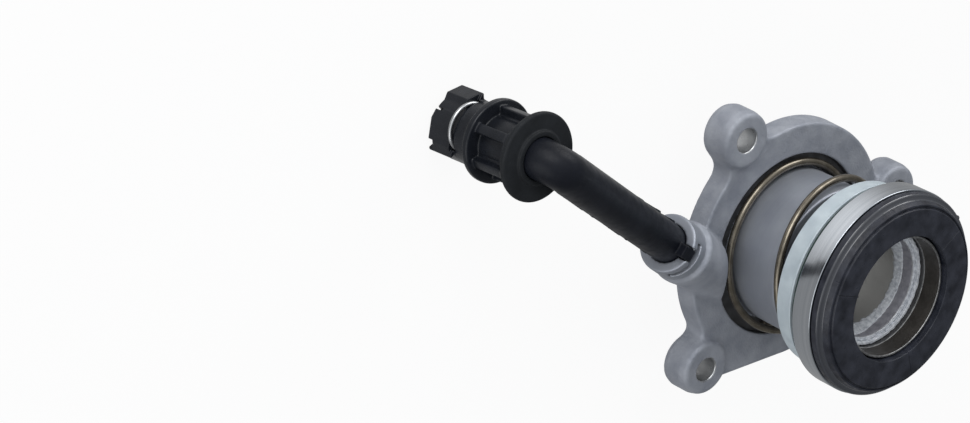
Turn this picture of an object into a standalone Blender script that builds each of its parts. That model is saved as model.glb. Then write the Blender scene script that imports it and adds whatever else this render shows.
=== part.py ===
"""Concentric slave cylinder: a hydraulic clutch release unit that sits round a gearbox shaft.

The origin is on the cylinder's axis, at the flange's mating face. +Z runs from the gearbox to the
clutch, and the fluid pipe leaves towards +X. The piston stands at the end of its stroke, as the
spring holds it when no pedal pressure acts.
"""
import math

import bmesh
import bpy
from mathutils import Matrix, Vector

MM = 0.001

# Clearances and facets
GAP = 0.3 * MM
RUNNING_GAP = 0.35 * MM
WIDE_SIDES = 60
MIDDLE_SIDES = 36
SMALL_SIDES = 20
ARC_STEP = math.radians(7.5)
SMALL_ARC_STEP = math.radians(22.5)
RACE_STEP = math.radians(30.0)

# Cast housing: flange, spigot and the tube that is the cylinder's outer wall
FLANGE_THICKNESS = 8.2 * MM
RIM_WIDTH = 4.5 * MM
RIM_OFFSET = 1.1 * MM
RIM_OFFSET_ANGLE = math.radians(-80.0)
CAST_EDGE = 1.2 * MM
SPIGOT_WALL = 5.2 * MM
SPIGOT_HEIGHT = 2.9 * MM
SPIGOT_CHAMFER = 1.9 * MM
SHOULDER_REACH = 1.4 * MM
SIDE_SETBACK = 0.5 * MM
SHOULDER_START = math.radians(33.0)
FLANK_TOP = math.radians(174.0)
FLANK_FOOT = math.radians(126.0)
RELIEF_START = math.radians(155.5)
TUBE_WALL = 3.2 * MM
TUBE_LENGTH = 29.2 * MM
TUBE_CHAMFER = 0.8 * MM
CHAMBER_WIDTH = 4.9 * MM
CHAMBER_FLOOR = 1.2 * MM
RECESS_CLEARANCE = 1.9 * MM
SPRING_RECESS_FLOOR = 5.5 * MM

# Fixing lugs: angle of the hole, its reach beyond the rim, and the blends before and after the lug
LUG_RADIUS = 9.6 * MM
PAD_HEIGHT = 11.0 * MM
PAD_EDGE = 1.5 * MM
BOLT_HOLE_RADIUS = 4.2 * MM
BOLT_HOLE_CHAMFER = 0.6 * MM
LUGS = [
    (math.radians(-132.3), 7.0 * MM, 4.5 * MM, 3.0 * MM),
    (math.radians(-22.0), 9.1 * MM, 9.0 * MM, 4.5 * MM),
    (math.radians(81.0), 9.4 * MM, 5.5 * MM, 0.0),
]

# Guide sleeve pressed into the spigot, and its sealing ring
SLEEVE_BORE = 15.8 * MM
SLEEVE_WALL = 3.0 * MM
SLEEVE_LENGTH = 48.7 * MM
SLEEVE_DISC_SETBACK = 5.4 * MM
SLEEVE_DISC_THICKNESS = 2.0 * MM
SLEEVE_LEAD_IN = 2.3 * MM
SLEEVE_FUNNEL_DEPTH = 6.0 * MM
SLEEVE_END_WALL = 1.1 * MM
SLEEVE_SEAL_SETBACK = 3.8 * MM
SLEEVE_SEAL_THICKNESS = 1.8 * MM
SEAL_GROOVE_DEPTH = 1.5 * MM

# Annular piston with its pressure seal, the wiper at the tube's mouth and the stroke
STROKE = 12.0 * MM
STROKE_END_CLEARANCE = 1.8 * MM
PRESSURE_SEAL_HEIGHT = 4.5 * MM
SEAL_LIP_DEPTH = 2.2 * MM
PISTON_LENGTH = 22.2 * MM
NOSE_WALL = 1.0 * MM
NOSE_LENGTH = 7.9 * MM
WIPER_HEIGHT = 2.0 * MM
WIPER_GROOVE_DEPTH = 1.9 * MM
WIPER_BELOW_MOUTH = 1.5 * MM

# Preload spring
WIRE_RADIUS = 1.3 * MM
COIL_CLEARANCE = 1.1 * MM
COIL_TURNS_FLAT_LOW = 0.5
COIL_TURNS_RISING = 1.65
COIL_TURNS_FLAT_HIGH = 0.6
COIL_POINTS_PER_TURN = 22
COIL_START = math.radians(-297.0)
COIL_STEEPENING = 0.3

# Sheet-metal spring cup, seal plate and rear seal, stacked on the piston's shoulder
CUP_CLEARANCE = 0.9 * MM
CUP_SHEET = 0.8 * MM
CUP_SKIRT = 6.1 * MM
CUP_CORNER = 1.0 * MM
PLATE_SETBACK = 0.3 * MM
PLATE_THICKNESS = 0.6 * MM
PLATE_BORE_STEP = 0.2 * MM
REAR_SEAL_SETBACK = 1.9 * MM
REAR_SEAL_BORE_STEP = 0.8 * MM
REAR_SEAL_THICKNESS = 2.0 * MM

# Ball bearing
BALL_RADIUS = 3.2 * MM
PITCH_SETBACK = 0.15 * MM
BALL_COUNT = 14
RACE_GAP = 0.3 * MM
POCKET_GAP = 0.2 * MM
BEARING_SECTION = 14.3 * MM
OUTER_RING_FOOT = 0.6 * MM
OUTER_RING_LIP = 0.6 * MM
OUTER_RING_CORNER = 0.5 * MM
OUTER_RING_OVERLAP = 1.2 * MM
INNER_RING_WALL = 0.8 * MM
INNER_RING_LIP = 4.0 * MM
CAGE_SHEET = 1.0 * MM

# Front seal and the polymer thrust ring that the clutch fingers press on
FRONT_SEAL_HEIGHT = 0.7 * MM
THRUST_BORE_CLEARANCE = 0.5 * MM
THRUST_RIM_WIDTH = 4.1 * MM
THRUST_HEIGHT = 5.9 * MM
THRUST_SETBACK = 0.5 * MM
THRUST_SHOULDER = 2.4 * MM
THRUST_GROOVE_DEPTH = 0.9 * MM
THRUST_GROOVE_WIDTH = 0.5 * MM
THRUST_SPIGOT_WALL = 1.5 * MM
THRUST_SPIGOT_DEPTH = 1.0 * MM
THRUST_BORE_EDGE = 0.3 * MM

# Pipe boss: its mouth's centre, the rise of its axis above the flange, and its steps
BOSS_REACH = 13.55 * MM
BOSS_SIDE = 22.5 * MM
BOSS_MOUTH_HEIGHT = 10.5 * MM
BOSS_RISE = math.radians(11.3)
BOSS_WALL = 3.15 * MM
BOSS_LENGTH = 8.3 * MM
BOSS_STEP = 0.6 * MM
BOSS_ROOT_LENGTH = 22.0 * MM
BOSS_MOUTH_CHAMFER = 0.7 * MM
FACE_SETBACK = 0.15 * MM
POCKET_DEPTH = 15.6 * MM
PORT_RADIUS = 0.8 * MM
PORT_BELOW_AXIS = 1.8 * MM
PORT_SIDE = 6.0 * MM
PORT_ENTRY = 2.8 * MM
PORT_END_HEIGHT = 2.1 * MM
KEY_WIDTH = 4.2 * MM
KEY_HEIGHT = 2.7 * MM
KEY_LENGTH = 7.4 * MM
KEY_DEPTH = 2.8 * MM
CLIP_DEPTH = 3.6 * MM
CLIP_WIRE_RADIUS = 0.75 * MM
CLIP_CLEARANCE = 0.5 * MM
CLIP_SLOT_WIDTH = 2.1 * MM
CLIP_ENDS = (math.radians(-62.0), math.radians(245.0))
CLIP_WINDOWS = [(-62.0, -9.0), (26.0, 119.0), (215.0, 245.0)]

# Fluid pipe and the ring that seals it in the boss
PIPE_RADIUS = 6.45 * MM
PIPE_WALL = 2.45 * MM
PIPE_REACH = 76.9 * MM
PIPE_IN_BOSS = 14.0 * MM
PIPE_BEND = 6.9 * MM
PIPE_BEND_STEPS = 8
PIPE_IN_CONNECTOR = 17.0 * MM
PIPE_NECK_DEPTH = 1.05 * MM
PIPE_NECK_LENGTH = 2.2 * MM
PIPE_NECK_FROM_END = 2.0 * MM

# Grommet and plug-in connector, measured down from the pipe's corner
CONNECTOR_TILT = (math.radians(3.8), math.radians(-2.2), 0.0)
GROMMET_RADIUS = 13.85 * MM
GROMMET_BELOW_PIPE = 0.15 * MM
GROMMET_THICKNESS = 2.0 * MM
GROMMET_COLLAR_STEP = 1.95 * MM
GROMMET_COLLAR_WALL = 1.1 * MM
GROMMET_COLLAR_HEIGHT = 0.9 * MM
NECK_WALL = 1.85 * MM
RIB_HEIGHT = 2.8 * MM
RIB_COUNT = 6
RIB_HALF_ANGLE = math.radians(8.0)
NECK_TOP_BAND = 2.4 * MM
WINDOW_LENGTH = 12.6 * MM
COLLAR_FLANGE_REACH = 1.7 * MM
COLLAR_FLANGE_THICKNESS = 2.4 * MM
BARREL_WALL = 3.0 * MM
BARREL_LENGTH = 8.0 * MM
HEAD_REACH = 1.2 * MM
HEAD_LENGTH = 10.4 * MM
HEAD_SIDES = 8
SOCKET_RADIUS = 6.9 * MM
SOCKET_DEPTH = 8.5 * MM
SEAT_STEP = 0.7 * MM
SEAT_DEPTH = 20.0 * MM
CONNECTOR_PORT_RADIUS = 3.0 * MM
TOOTH_HEIGHT = 1.7 * MM
TOOTH_WIDTH = 3.2 * MM
TOOTH_LENGTH = 4.0 * MM
TOOTH_ANGLES = [math.radians(69.0), math.radians(157.0), math.radians(-62.0)]
HEAD_NOTCH_ANGLES = [math.radians(20.0), math.radians(112.0), math.radians(-110.0)]
HEAD_NOTCH_WIDTH = 2.6 * MM
HEAD_NOTCH_DEPTH = 2.2 * MM
SOCKET_SEAL_THICKNESS = 1.9 * MM
SOCKET_SEAL_FROM_MOUTH = 12.5 * MM
WIRE_CLIP_FROM_MOUTH = 10.3 * MM
WIRE_CLIP_RADIUS = 0.75 * MM
WIRE_CLIP_WALL = 0.65 * MM
WIRE_CLIP_BACK = 6.0 * MM
WIRE_CLIP_FRONT = 5.4 * MM
WIRE_CLIP_REACH = 2.0 * MM
WIRE_CLIP_SLOT = 2.4 * MM

# Radii that follow from the values above, from the shaft outwards
SLEEVE_RADIUS = SLEEVE_BORE + SLEEVE_WALL
CHAMBER_RADIUS = SLEEVE_RADIUS + CHAMBER_WIDTH
TUBE_RADIUS = CHAMBER_RADIUS + TUBE_WALL
COIL_RADIUS = TUBE_RADIUS + COIL_CLEARANCE + WIRE_RADIUS
CUP_RADIUS = COIL_RADIUS + WIRE_RADIUS + CUP_CLEARANCE + CUP_SHEET
SPRING_RECESS_RADIUS = COIL_RADIUS + WIRE_RADIUS + RECESS_CLEARANCE
SPIGOT_RADIUS = SPRING_RECESS_RADIUS + SPIGOT_WALL
SLEEVE_DISC_RADIUS = SPIGOT_RADIUS - SLEEVE_DISC_SETBACK
SLEEVE_SEAL_RADIUS = SLEEVE_DISC_RADIUS - SLEEVE_SEAL_SETBACK
RIM_RADIUS = SPIGOT_RADIUS + RIM_WIDTH
SHOULDER_RADIUS = RIM_RADIUS + SHOULDER_REACH
SIDE_RADIUS = RIM_RADIUS - SIDE_SETBACK
PISTON_BORE = SLEEVE_RADIUS + GAP
PISTON_RADIUS = CHAMBER_RADIUS - GAP
NOSE_RADIUS = PISTON_BORE + NOSE_WALL
INNER_RING_BORE = NOSE_RADIUS + GAP
INNER_RING_NECK = INNER_RING_BORE + INNER_RING_WALL
OUTER_RING_RADIUS = INNER_RING_NECK + BEARING_SECTION
RACE_RADIUS = BALL_RADIUS + RACE_GAP
BALL_PITCH_RADIUS = (INNER_RING_NECK + OUTER_RING_RADIUS) / 2 - PITCH_SETBACK
OUTER_RING_MOUTH = BALL_PITCH_RADIUS - OUTER_RING_OVERLAP
PLATE_BORE = BALL_PITCH_RADIUS + PLATE_BORE_STEP
REAR_SEAL_RADIUS = OUTER_RING_RADIUS - REAR_SEAL_SETBACK
REAR_SEAL_BORE = BALL_PITCH_RADIUS + REAR_SEAL_BORE_STEP
PLATE_RADIUS = REAR_SEAL_RADIUS - PLATE_SETBACK
THRUST_BORE = INNER_RING_NECK + THRUST_BORE_CLEARANCE
THRUST_OUTER_RADIUS = OUTER_RING_RADIUS - THRUST_SETBACK
THRUST_FACE_RADIUS = THRUST_OUTER_RADIUS - THRUST_RIM_WIDTH

# Heights that follow, from the gearbox's face to the clutch
SLEEVE_DISC_TOP = -SPIGOT_HEIGHT + SLEEVE_DISC_THICKNESS
DISC_POCKET_FLOOR = SLEEVE_DISC_TOP + GAP
PRESSURE_SEAL_LOW = CHAMBER_FLOOR + STROKE + STROKE_END_CLEARANCE
PISTON_LOW = PRESSURE_SEAL_LOW + PRESSURE_SEAL_HEIGHT + GAP
PISTON_SHOULDER = PISTON_LOW + PISTON_LENGTH
NOSE_TOP = PISTON_SHOULDER + NOSE_LENGTH
RECESS_CLEAR_HEIGHT = TUBE_LENGTH + TUBE_CHAMFER
CUP_WEB_LOW = PISTON_SHOULDER + GAP
CUP_WEB_HIGH = CUP_WEB_LOW + CUP_SHEET
PLATE_LOW = CUP_WEB_HIGH + GAP
PLATE_HIGH = PLATE_LOW + PLATE_THICKNESS
REAR_SEAL_LOW = PLATE_HIGH + GAP
REAR_SEAL_HIGH = REAR_SEAL_LOW + REAR_SEAL_THICKNESS
OUTER_RING_LOW = REAR_SEAL_HIGH + GAP
BALL_HEIGHT = OUTER_RING_LOW + OUTER_RING_FOOT + BALL_RADIUS
OUTER_RING_HIGH = BALL_HEIGHT + RACE_RADIUS + OUTER_RING_LIP
INNER_RING_LOW = CUP_WEB_HIGH + GAP
INNER_RING_TOP = OUTER_RING_HIGH + INNER_RING_LIP
THRUST_LOW = OUTER_RING_HIGH + GAP
THRUST_FACE_HEIGHT = THRUST_LOW + THRUST_HEIGHT
COIL_LOW = SPRING_RECESS_FLOOR + GAP + WIRE_RADIUS
COIL_HIGH = CUP_WEB_LOW - GAP - WIRE_RADIUS

# Flange edges, boss, pipe and connector that follow
RIM_CENTRE = (RIM_OFFSET * math.cos(RIM_OFFSET_ANGLE), RIM_OFFSET * math.sin(RIM_OFFSET_ANGLE))
PAD_RADIUS = LUG_RADIUS + 0.15 * MM
RIM = (RIM_CENTRE, RIM_RADIUS)
SHOULDER = ((0, 0), SHOULDER_RADIUS)
SPIGOT = ((0, 0), SPIGOT_RADIUS)
POCKET_RADIUS = PIPE_RADIUS + GAP
PIPE_BORE = PIPE_RADIUS - PIPE_WALL
PIPE_NECK_RADIUS = PIPE_RADIUS - PIPE_NECK_DEPTH
CLIP_RING_RADIUS = PIPE_RADIUS + CLIP_CLEARANCE + CLIP_WIRE_RADIUS
BOSS_RADIUS = POCKET_RADIUS + BOSS_WALL
BOSS_ROOT_RADIUS = BOSS_RADIUS + BOSS_STEP
BOSS_MOUTH = Vector((RIM_RADIUS + BOSS_REACH, BOSS_SIDE, BOSS_MOUTH_HEIGHT))
PORT_TARGET = Vector((PORT_SIDE, CHAMBER_RADIUS - PORT_ENTRY, PORT_END_HEIGHT))
GROMMET_TOP = -PIPE_RADIUS - GROMMET_BELOW_PIPE
GROMMET_COLLAR_RADIUS = POCKET_RADIUS + GROMMET_COLLAR_STEP
NECK_RADIUS = POCKET_RADIUS + NECK_WALL
RIB_RADIUS = NECK_RADIUS + RIB_HEIGHT
COLLAR_FLANGE_RADIUS = RIB_RADIUS + COLLAR_FLANGE_REACH
SEAT_RADIUS = SOCKET_RADIUS - SEAT_STEP
BARREL_RADIUS = SOCKET_RADIUS + BARREL_WALL
HEAD_RADIUS = BARREL_RADIUS + HEAD_REACH
WIRE_CLIP_ARM = SOCKET_RADIUS + WIRE_CLIP_WALL + WIRE_CLIP_RADIUS + GAP
WIRE_CLIP_BOW = HEAD_RADIUS + WIRE_CLIP_REACH
CONNECTOR_LENGTH = NECK_TOP_BAND + WINDOW_LENGTH + COLLAR_FLANGE_THICKNESS + BARREL_LENGTH + HEAD_LENGTH
CONNECTOR_TOP = GROMMET_TOP - GROMMET_THICKNESS - GAP
CONNECTOR_MOUTH = CONNECTOR_TOP - CONNECTOR_LENGTH
PIPE_DIRECTION = Vector((math.cos(BOSS_RISE), 0.0, math.sin(BOSS_RISE)))
PIPE_CORNER = BOSS_MOUTH + PIPE_REACH * PIPE_DIRECTION
BOSS_TURN = (0.0, math.pi / 2 - BOSS_RISE, 0.0)

for leftover in list(bpy.data.objects):
    bpy.data.objects.remove(leftover, do_unlink=True)


def new_collection(name):
    """A collection of this name in the scene."""
    collection = bpy.data.collections.new(name)
    bpy.context.scene.collection.children.link(collection)
    return collection


parts = new_collection("concentric_slave_cylinder")
cutters = new_collection("cutters")


def material(name, colour, roughness, metallic):
    """A plain Principled finish."""
    finish = bpy.data.materials.new(name)
    finish.use_nodes = True
    shader = finish.node_tree.nodes["Principled BSDF"]
    shader.inputs["Base Color"].default_value = (*colour, 1.0)
    shader.inputs["Roughness"].default_value = roughness
    shader.inputs["Metallic"].default_value = metallic
    return finish


cast_aluminium = material("cast_aluminium", (0.30, 0.33, 0.37), 0.5, 0.8)
turned_steel = material("turned_steel", (0.55, 0.56, 0.58), 0.3, 1.0)
polished_steel = material("polished_steel", (0.70, 0.70, 0.72), 0.15, 1.0)
dark_steel = material("dark_steel", (0.10, 0.09, 0.08), 0.4, 0.9)
zinc_sheet = material("zinc_sheet", (0.55, 0.64, 0.69), 0.35, 0.8)
spring_steel = material("spring_steel", (0.20, 0.17, 0.12), 0.35, 0.9)
bright_wire = material("bright_wire", (0.75, 0.76, 0.77), 0.2, 1.0)
black_plastic = material("black_plastic", (0.02, 0.022, 0.028), 0.45, 0.0)
cage_plastic = material("cage_plastic", (0.45, 0.38, 0.25), 0.5, 0.0)
black_rubber = material("black_rubber", (0.015, 0.015, 0.017), 0.7, 0.0)
green_rubber = material("green_rubber", (0.01, 0.035, 0.025), 0.6, 0.0)


def part(name, mesh, finish):
    """An object of the assembly with its finish."""
    piece = bpy.data.objects.new(name, mesh)
    parts.objects.link(piece)
    mesh.materials.clear()
    mesh.materials.append(finish)
    mesh.shade_smooth()
    mesh.set_sharp_from_angle(angle=math.radians(35.0))
    return piece


def cutter(name, mesh):
    """A hidden object for a Boolean."""
    tool = bpy.data.objects.new(name, mesh)
    cutters.objects.link(tool)
    tool.hide_render = True
    tool.display_type = "WIRE"
    return tool


def turned(name, outline, sides):
    """A mesh turned about Z from (radius, height) points: down the outer side, then up the bore."""
    on_axis = min(radius for radius, height in outline) < 1e-7
    lathe_mesh = bpy.data.meshes.new(name + "_outline")
    form = bmesh.new()
    points = [form.verts.new((radius, 0.0, height)) for radius, height in outline]
    for start, end in zip(points, points[1:]):
        form.edges.new((start, end))
    if not on_axis:
        form.edges.new((points[-1], points[0]))
    form.to_mesh(lathe_mesh)
    form.free()
    lathe = bpy.data.objects.new(name + "_lathe", lathe_mesh)
    bpy.context.scene.collection.objects.link(lathe)
    screw = lathe.modifiers.new("turn", "SCREW")
    screw.axis = "Z"
    screw.steps = sides
    screw.render_steps = sides
    screw.use_merge_vertices = True
    screw.merge_threshold = 0.00001
    return evaluated_mesh(lathe, name)


def evaluated_mesh(source, name):
    """The finished mesh of an object that is then removed."""
    bpy.context.view_layer.update()
    shaped = source.evaluated_get(bpy.context.evaluated_depsgraph_get())
    mesh = bpy.data.meshes.new_from_object(shaped)
    mesh.name = name
    mesh.transform(source.matrix_world)
    form = bmesh.new()
    form.from_mesh(mesh)
    bmesh.ops.remove_doubles(form, verts=form.verts, dist=0.000005)
    flat = math.radians(0.05)
    bmesh.ops.dissolve_limit(form, angle_limit=flat, verts=form.verts, edges=form.edges)
    form.to_mesh(mesh)
    form.free()
    bpy.data.objects.remove(source, do_unlink=True)
    return mesh


def plate(name, outlines, low, high):
    """A flat plate between two heights from one or more closed (x, y) outlines."""
    curve = bpy.data.curves.new(name, "CURVE")
    curve.dimensions = "2D"
    curve.fill_mode = "BOTH"
    curve.extrude = (high - low) / 2
    for outline in outlines:
        spline = curve.splines.new("POLY")
        spline.points.add(len(outline) - 1)
        for point, place in zip(spline.points, outline):
            point.co = (place[0], place[1], 0.0, 1.0)
        spline.use_cyclic_u = True
    flat = bpy.data.objects.new(name + "_flat", curve)
    flat.location.z = (low + high) / 2
    bpy.context.scene.collection.objects.link(flat)
    return evaluated_mesh(flat, name)


def rod(name, points, radius, sides):
    """A round wire or pipe along the points, with closed ends."""
    curve = bpy.data.curves.new(name, "CURVE")
    curve.dimensions = "3D"
    curve.bevel_depth = radius
    curve.bevel_resolution = sides // 2 - 2
    curve.use_fill_caps = True
    spline = curve.splines.new("POLY")
    spline.points.add(len(points) - 1)
    for point, place in zip(spline.points, points):
        point.co = (*place, 1.0)
    wire = bpy.data.objects.new(name + "_wire", curve)
    bpy.context.scene.collection.objects.link(wire)
    return evaluated_mesh(wire, name)


def box(name, low, high):
    """A box mesh between two corners."""
    form = bmesh.new()
    bmesh.ops.create_cube(form, size=1.0)
    middle = (Vector(low) + Vector(high)) / 2
    size = Vector(high) - Vector(low)
    bmesh.ops.scale(form, vec=size, verts=form.verts)
    bmesh.ops.translate(form, vec=middle, verts=form.verts)
    mesh = bpy.data.meshes.new(name)
    form.to_mesh(mesh)
    form.free()
    return mesh


def boolean(piece, tool, operation):
    """Join or cut a piece with a hidden object."""
    step = piece.modifiers.new(tool.name, "BOOLEAN")
    step.operation = operation
    step.object = tool
    step.solver = "EXACT"


def arc(centre, radius, start, end, step=ARC_STEP):
    """Points of an arc, turning the short or long way from the start angle to the end angle."""
    count = max(1, math.ceil(abs(end - start) / step))
    angles = [start + (end - start) * index / count for index in range(count + 1)]
    return [(centre[0] + radius * math.cos(a), centre[1] + radius * math.sin(a)) for a in angles]


def sector(inner, outer, start, end, step=ARC_STEP):
    """The outline of a piece of a flat ring between two angles."""
    return arc((0, 0), outer, start, end, step) + arc((0, 0), inner, end, start, step)


def lug_blend(lug, centre, rim, blend, side):
    """A concave blend between a round edge and a lug, before (-1) or after (+1) the lug.

    Gives the angle on the edge where it starts, the blend's centre and its direction to the lug.
    """
    offset = lug - Vector(centre)
    reach = rim + blend
    span = offset.length
    spread = math.acos((reach ** 2 + span ** 2 - (LUG_RADIUS + blend) ** 2) / (2 * span * reach))
    edge_angle = math.atan2(offset.y, offset.x) + side * spread
    blend_centre = Vector(centre) + reach * Vector((math.cos(edge_angle), math.sin(edge_angle)))
    towards = lug - blend_centre
    return edge_angle, blend_centre, math.atan2(towards.y, towards.x)


def wrap_near(angle, reference):
    """The same direction as angle, within half a turn of reference."""
    return angle + 2 * math.pi * round((reference - angle) / (2 * math.pi))


def blend_points(lug, edge, blend, side):
    """Points of a blend from the round edge to the lug, with its foot's and its lug's angles."""
    foot, blend_centre, to_lug = lug_blend(lug, *edge, blend, side)
    points = arc(blend_centre, blend, wrap_near(foot + math.pi, to_lug), to_lug, SMALL_ARC_STEP)
    return foot, to_lug + math.pi, points


def flange_outline():
    """Rim, lugs and blends, anticlockwise from the foot of the first lug."""
    outline = []
    places = lug_centres()
    edges_before = [SPIGOT, RIM, SHOULDER]
    for index, (angle, reach, before, after) in enumerate(LUGS):
        foot, first, points = blend_points(places[index], edges_before[index], before, -1)
        outline += points
        first = wrap_near(first, angle - math.pi / 2)
        if index == 2:
            outline += arc(places[index], LUG_RADIUS, first, FLANK_TOP, SMALL_ARC_STEP)[1:]
            continue
        rim_start, last, points = blend_points(places[index], RIM, after, 1)
        last = wrap_near(last, angle + math.pi / 2)
        outline += arc(places[index], LUG_RADIUS, first, last, SMALL_ARC_STEP)[1:]
        outline += points[::-1][1:]
        next_before = LUGS[index + 1][2]
        next_foot = lug_blend(places[index + 1], *edges_before[index + 1], next_before, -1)[0]
        next_foot = wrap_near(next_foot, rim_start + 0.5)
        if index == 0:
            outline += arc(*RIM, rim_start, next_foot)[1:-1]
        else:
            outline += arc(*RIM, rim_start, SHOULDER_START)[1:]
            outline += arc(*SHOULDER, SHOULDER_START, next_foot)[:-1]
    corner = math.radians(2.0)
    outline += arc((0, 0), SIDE_RADIUS, FLANK_FOOT, RELIEF_START - corner)
    outline += arc((0, 0), SIDE_RADIUS - CAST_EDGE, RELIEF_START, RELIEF_START)[:1]
    relief_end = lug_blend(places[0], *SPIGOT, LUGS[0][2], -1)[0]
    outline += arc(*SPIGOT, RELIEF_START, wrap_near(relief_end, RELIEF_START + 1.0))[:-1]
    return outline


def lug_centres():
    """The places of the bolt holes in the plane of the flange."""
    centres = []
    for angle, reach, before, after in LUGS:
        distance = RIM_RADIUS + reach
        centres.append(Vector((distance * math.cos(angle), distance * math.sin(angle))))
    return centres


def soften(mesh, width):
    """Round the outer edges of a cast plate."""
    form = bmesh.new()
    form.from_mesh(mesh)
    rims = [edge for edge in form.edges if edge.calc_face_angle() > math.radians(80.0)
            and abs(edge.verts[0].co.z - edge.verts[1].co.z) < width / 10]
    bmesh.ops.bevel(form, geom=rims, offset=width, segments=2, profile=0.5, affect="EDGES")
    form.to_mesh(mesh)
    form.free()
    return mesh


def on_boss(tool):
    """Stand an object on the boss's axis, with its z at 0 at the mouth."""
    tool.location = BOSS_MOUTH
    tool.rotation_euler = BOSS_TURN
    return tool


def on_connector(piece):
    """Stand an object on the connector's axis, with its z at 0 at the pipe's corner."""
    piece.location = PIPE_CORNER
    piece.rotation_euler = CONNECTOR_TILT
    return piece


def boss_body():
    """The inclined boss for the pipe, cut off just short of the flange's mating face."""
    outline = [
        (0.0, 0.0),
        (BOSS_RADIUS - BOSS_MOUTH_CHAMFER, 0.0),
        (BOSS_RADIUS, -BOSS_MOUTH_CHAMFER),
        (BOSS_RADIUS, -BOSS_LENGTH),
        (BOSS_ROOT_RADIUS, -BOSS_LENGTH - (BOSS_ROOT_RADIUS - BOSS_RADIUS)),
        (BOSS_ROOT_RADIUS, -BOSS_LENGTH - BOSS_ROOT_LENGTH),
        (0.0, -BOSS_LENGTH - BOSS_ROOT_LENGTH),
    ]
    body = on_boss(cutter("boss_body", turned("boss_body", outline, MIDDLE_SIDES)))
    deep = 2 * BOSS_ROOT_RADIUS
    below = box("below_flange", (0.0, -deep, -deep), (2 * BOSS_MOUTH.x, 3 * deep, FACE_SETBACK))
    boolean(body, cutter("below_flange", below), "DIFFERENCE")
    return body


def boss_cuts():
    """The pipe's pocket, the port to the chamber, the key notch and the clip's groove and windows."""
    outline = [
        (0.0, GAP),
        (POCKET_RADIUS + BOSS_MOUTH_CHAMFER, GAP),
        (POCKET_RADIUS, -BOSS_MOUTH_CHAMFER),
        (POCKET_RADIUS, -POCKET_DEPTH),
        (0.0, -POCKET_DEPTH),
    ]
    yield on_boss(cutter("pipe_pocket", turned("pipe_pocket", outline, MIDDLE_SIDES)))
    port_start = BOSS_MOUTH - (POCKET_DEPTH - 2 * PORT_RADIUS) * PIPE_DIRECTION
    port_start.z -= PORT_BELOW_AXIS
    yield cutter("port", rod("port", [port_start, PORT_TARGET], PORT_RADIUS, 12))
    half = KEY_WIDTH / 2 + GAP
    notch = box("key_notch", (-2 * BOSS_RADIUS, -half, -KEY_DEPTH - GAP), (0.0, half, BOSS_RADIUS))
    yield on_boss(cutter("key_notch", notch))
    low = -CLIP_DEPTH - CLIP_SLOT_WIDTH / 2
    high = -CLIP_DEPTH + CLIP_SLOT_WIDTH / 2
    inner = CLIP_RING_RADIUS - CLIP_WIRE_RADIUS - 2 * GAP
    groove_outer = CLIP_RING_RADIUS + CLIP_WIRE_RADIUS + GAP
    ring = [(groove_outer, high), (groove_outer, low), (inner, low), (inner, high)]
    yield on_boss(cutter("clip_groove", turned("clip_groove", ring, MIDDLE_SIDES)))
    windows = []
    for first, last in CLIP_WINDOWS:
        start, end = math.radians(first), math.radians(last)
        windows.append(sector(inner + GAP, 2 * BOSS_RADIUS, *boss_angles(start, end)))
    yield on_boss(cutter("clip_windows", plate("clip_windows", windows, low + GAP / 2, high - GAP / 2)))


def boss_angles(start, end):
    """Angles in the boss's own plane, given from its +Y side towards its top."""
    return start_angle(end), start_angle(start)


def start_angle(from_side):
    """The plane angle of a direction given from the +Y side towards the top of the boss."""
    return math.pi / 2 + from_side


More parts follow.
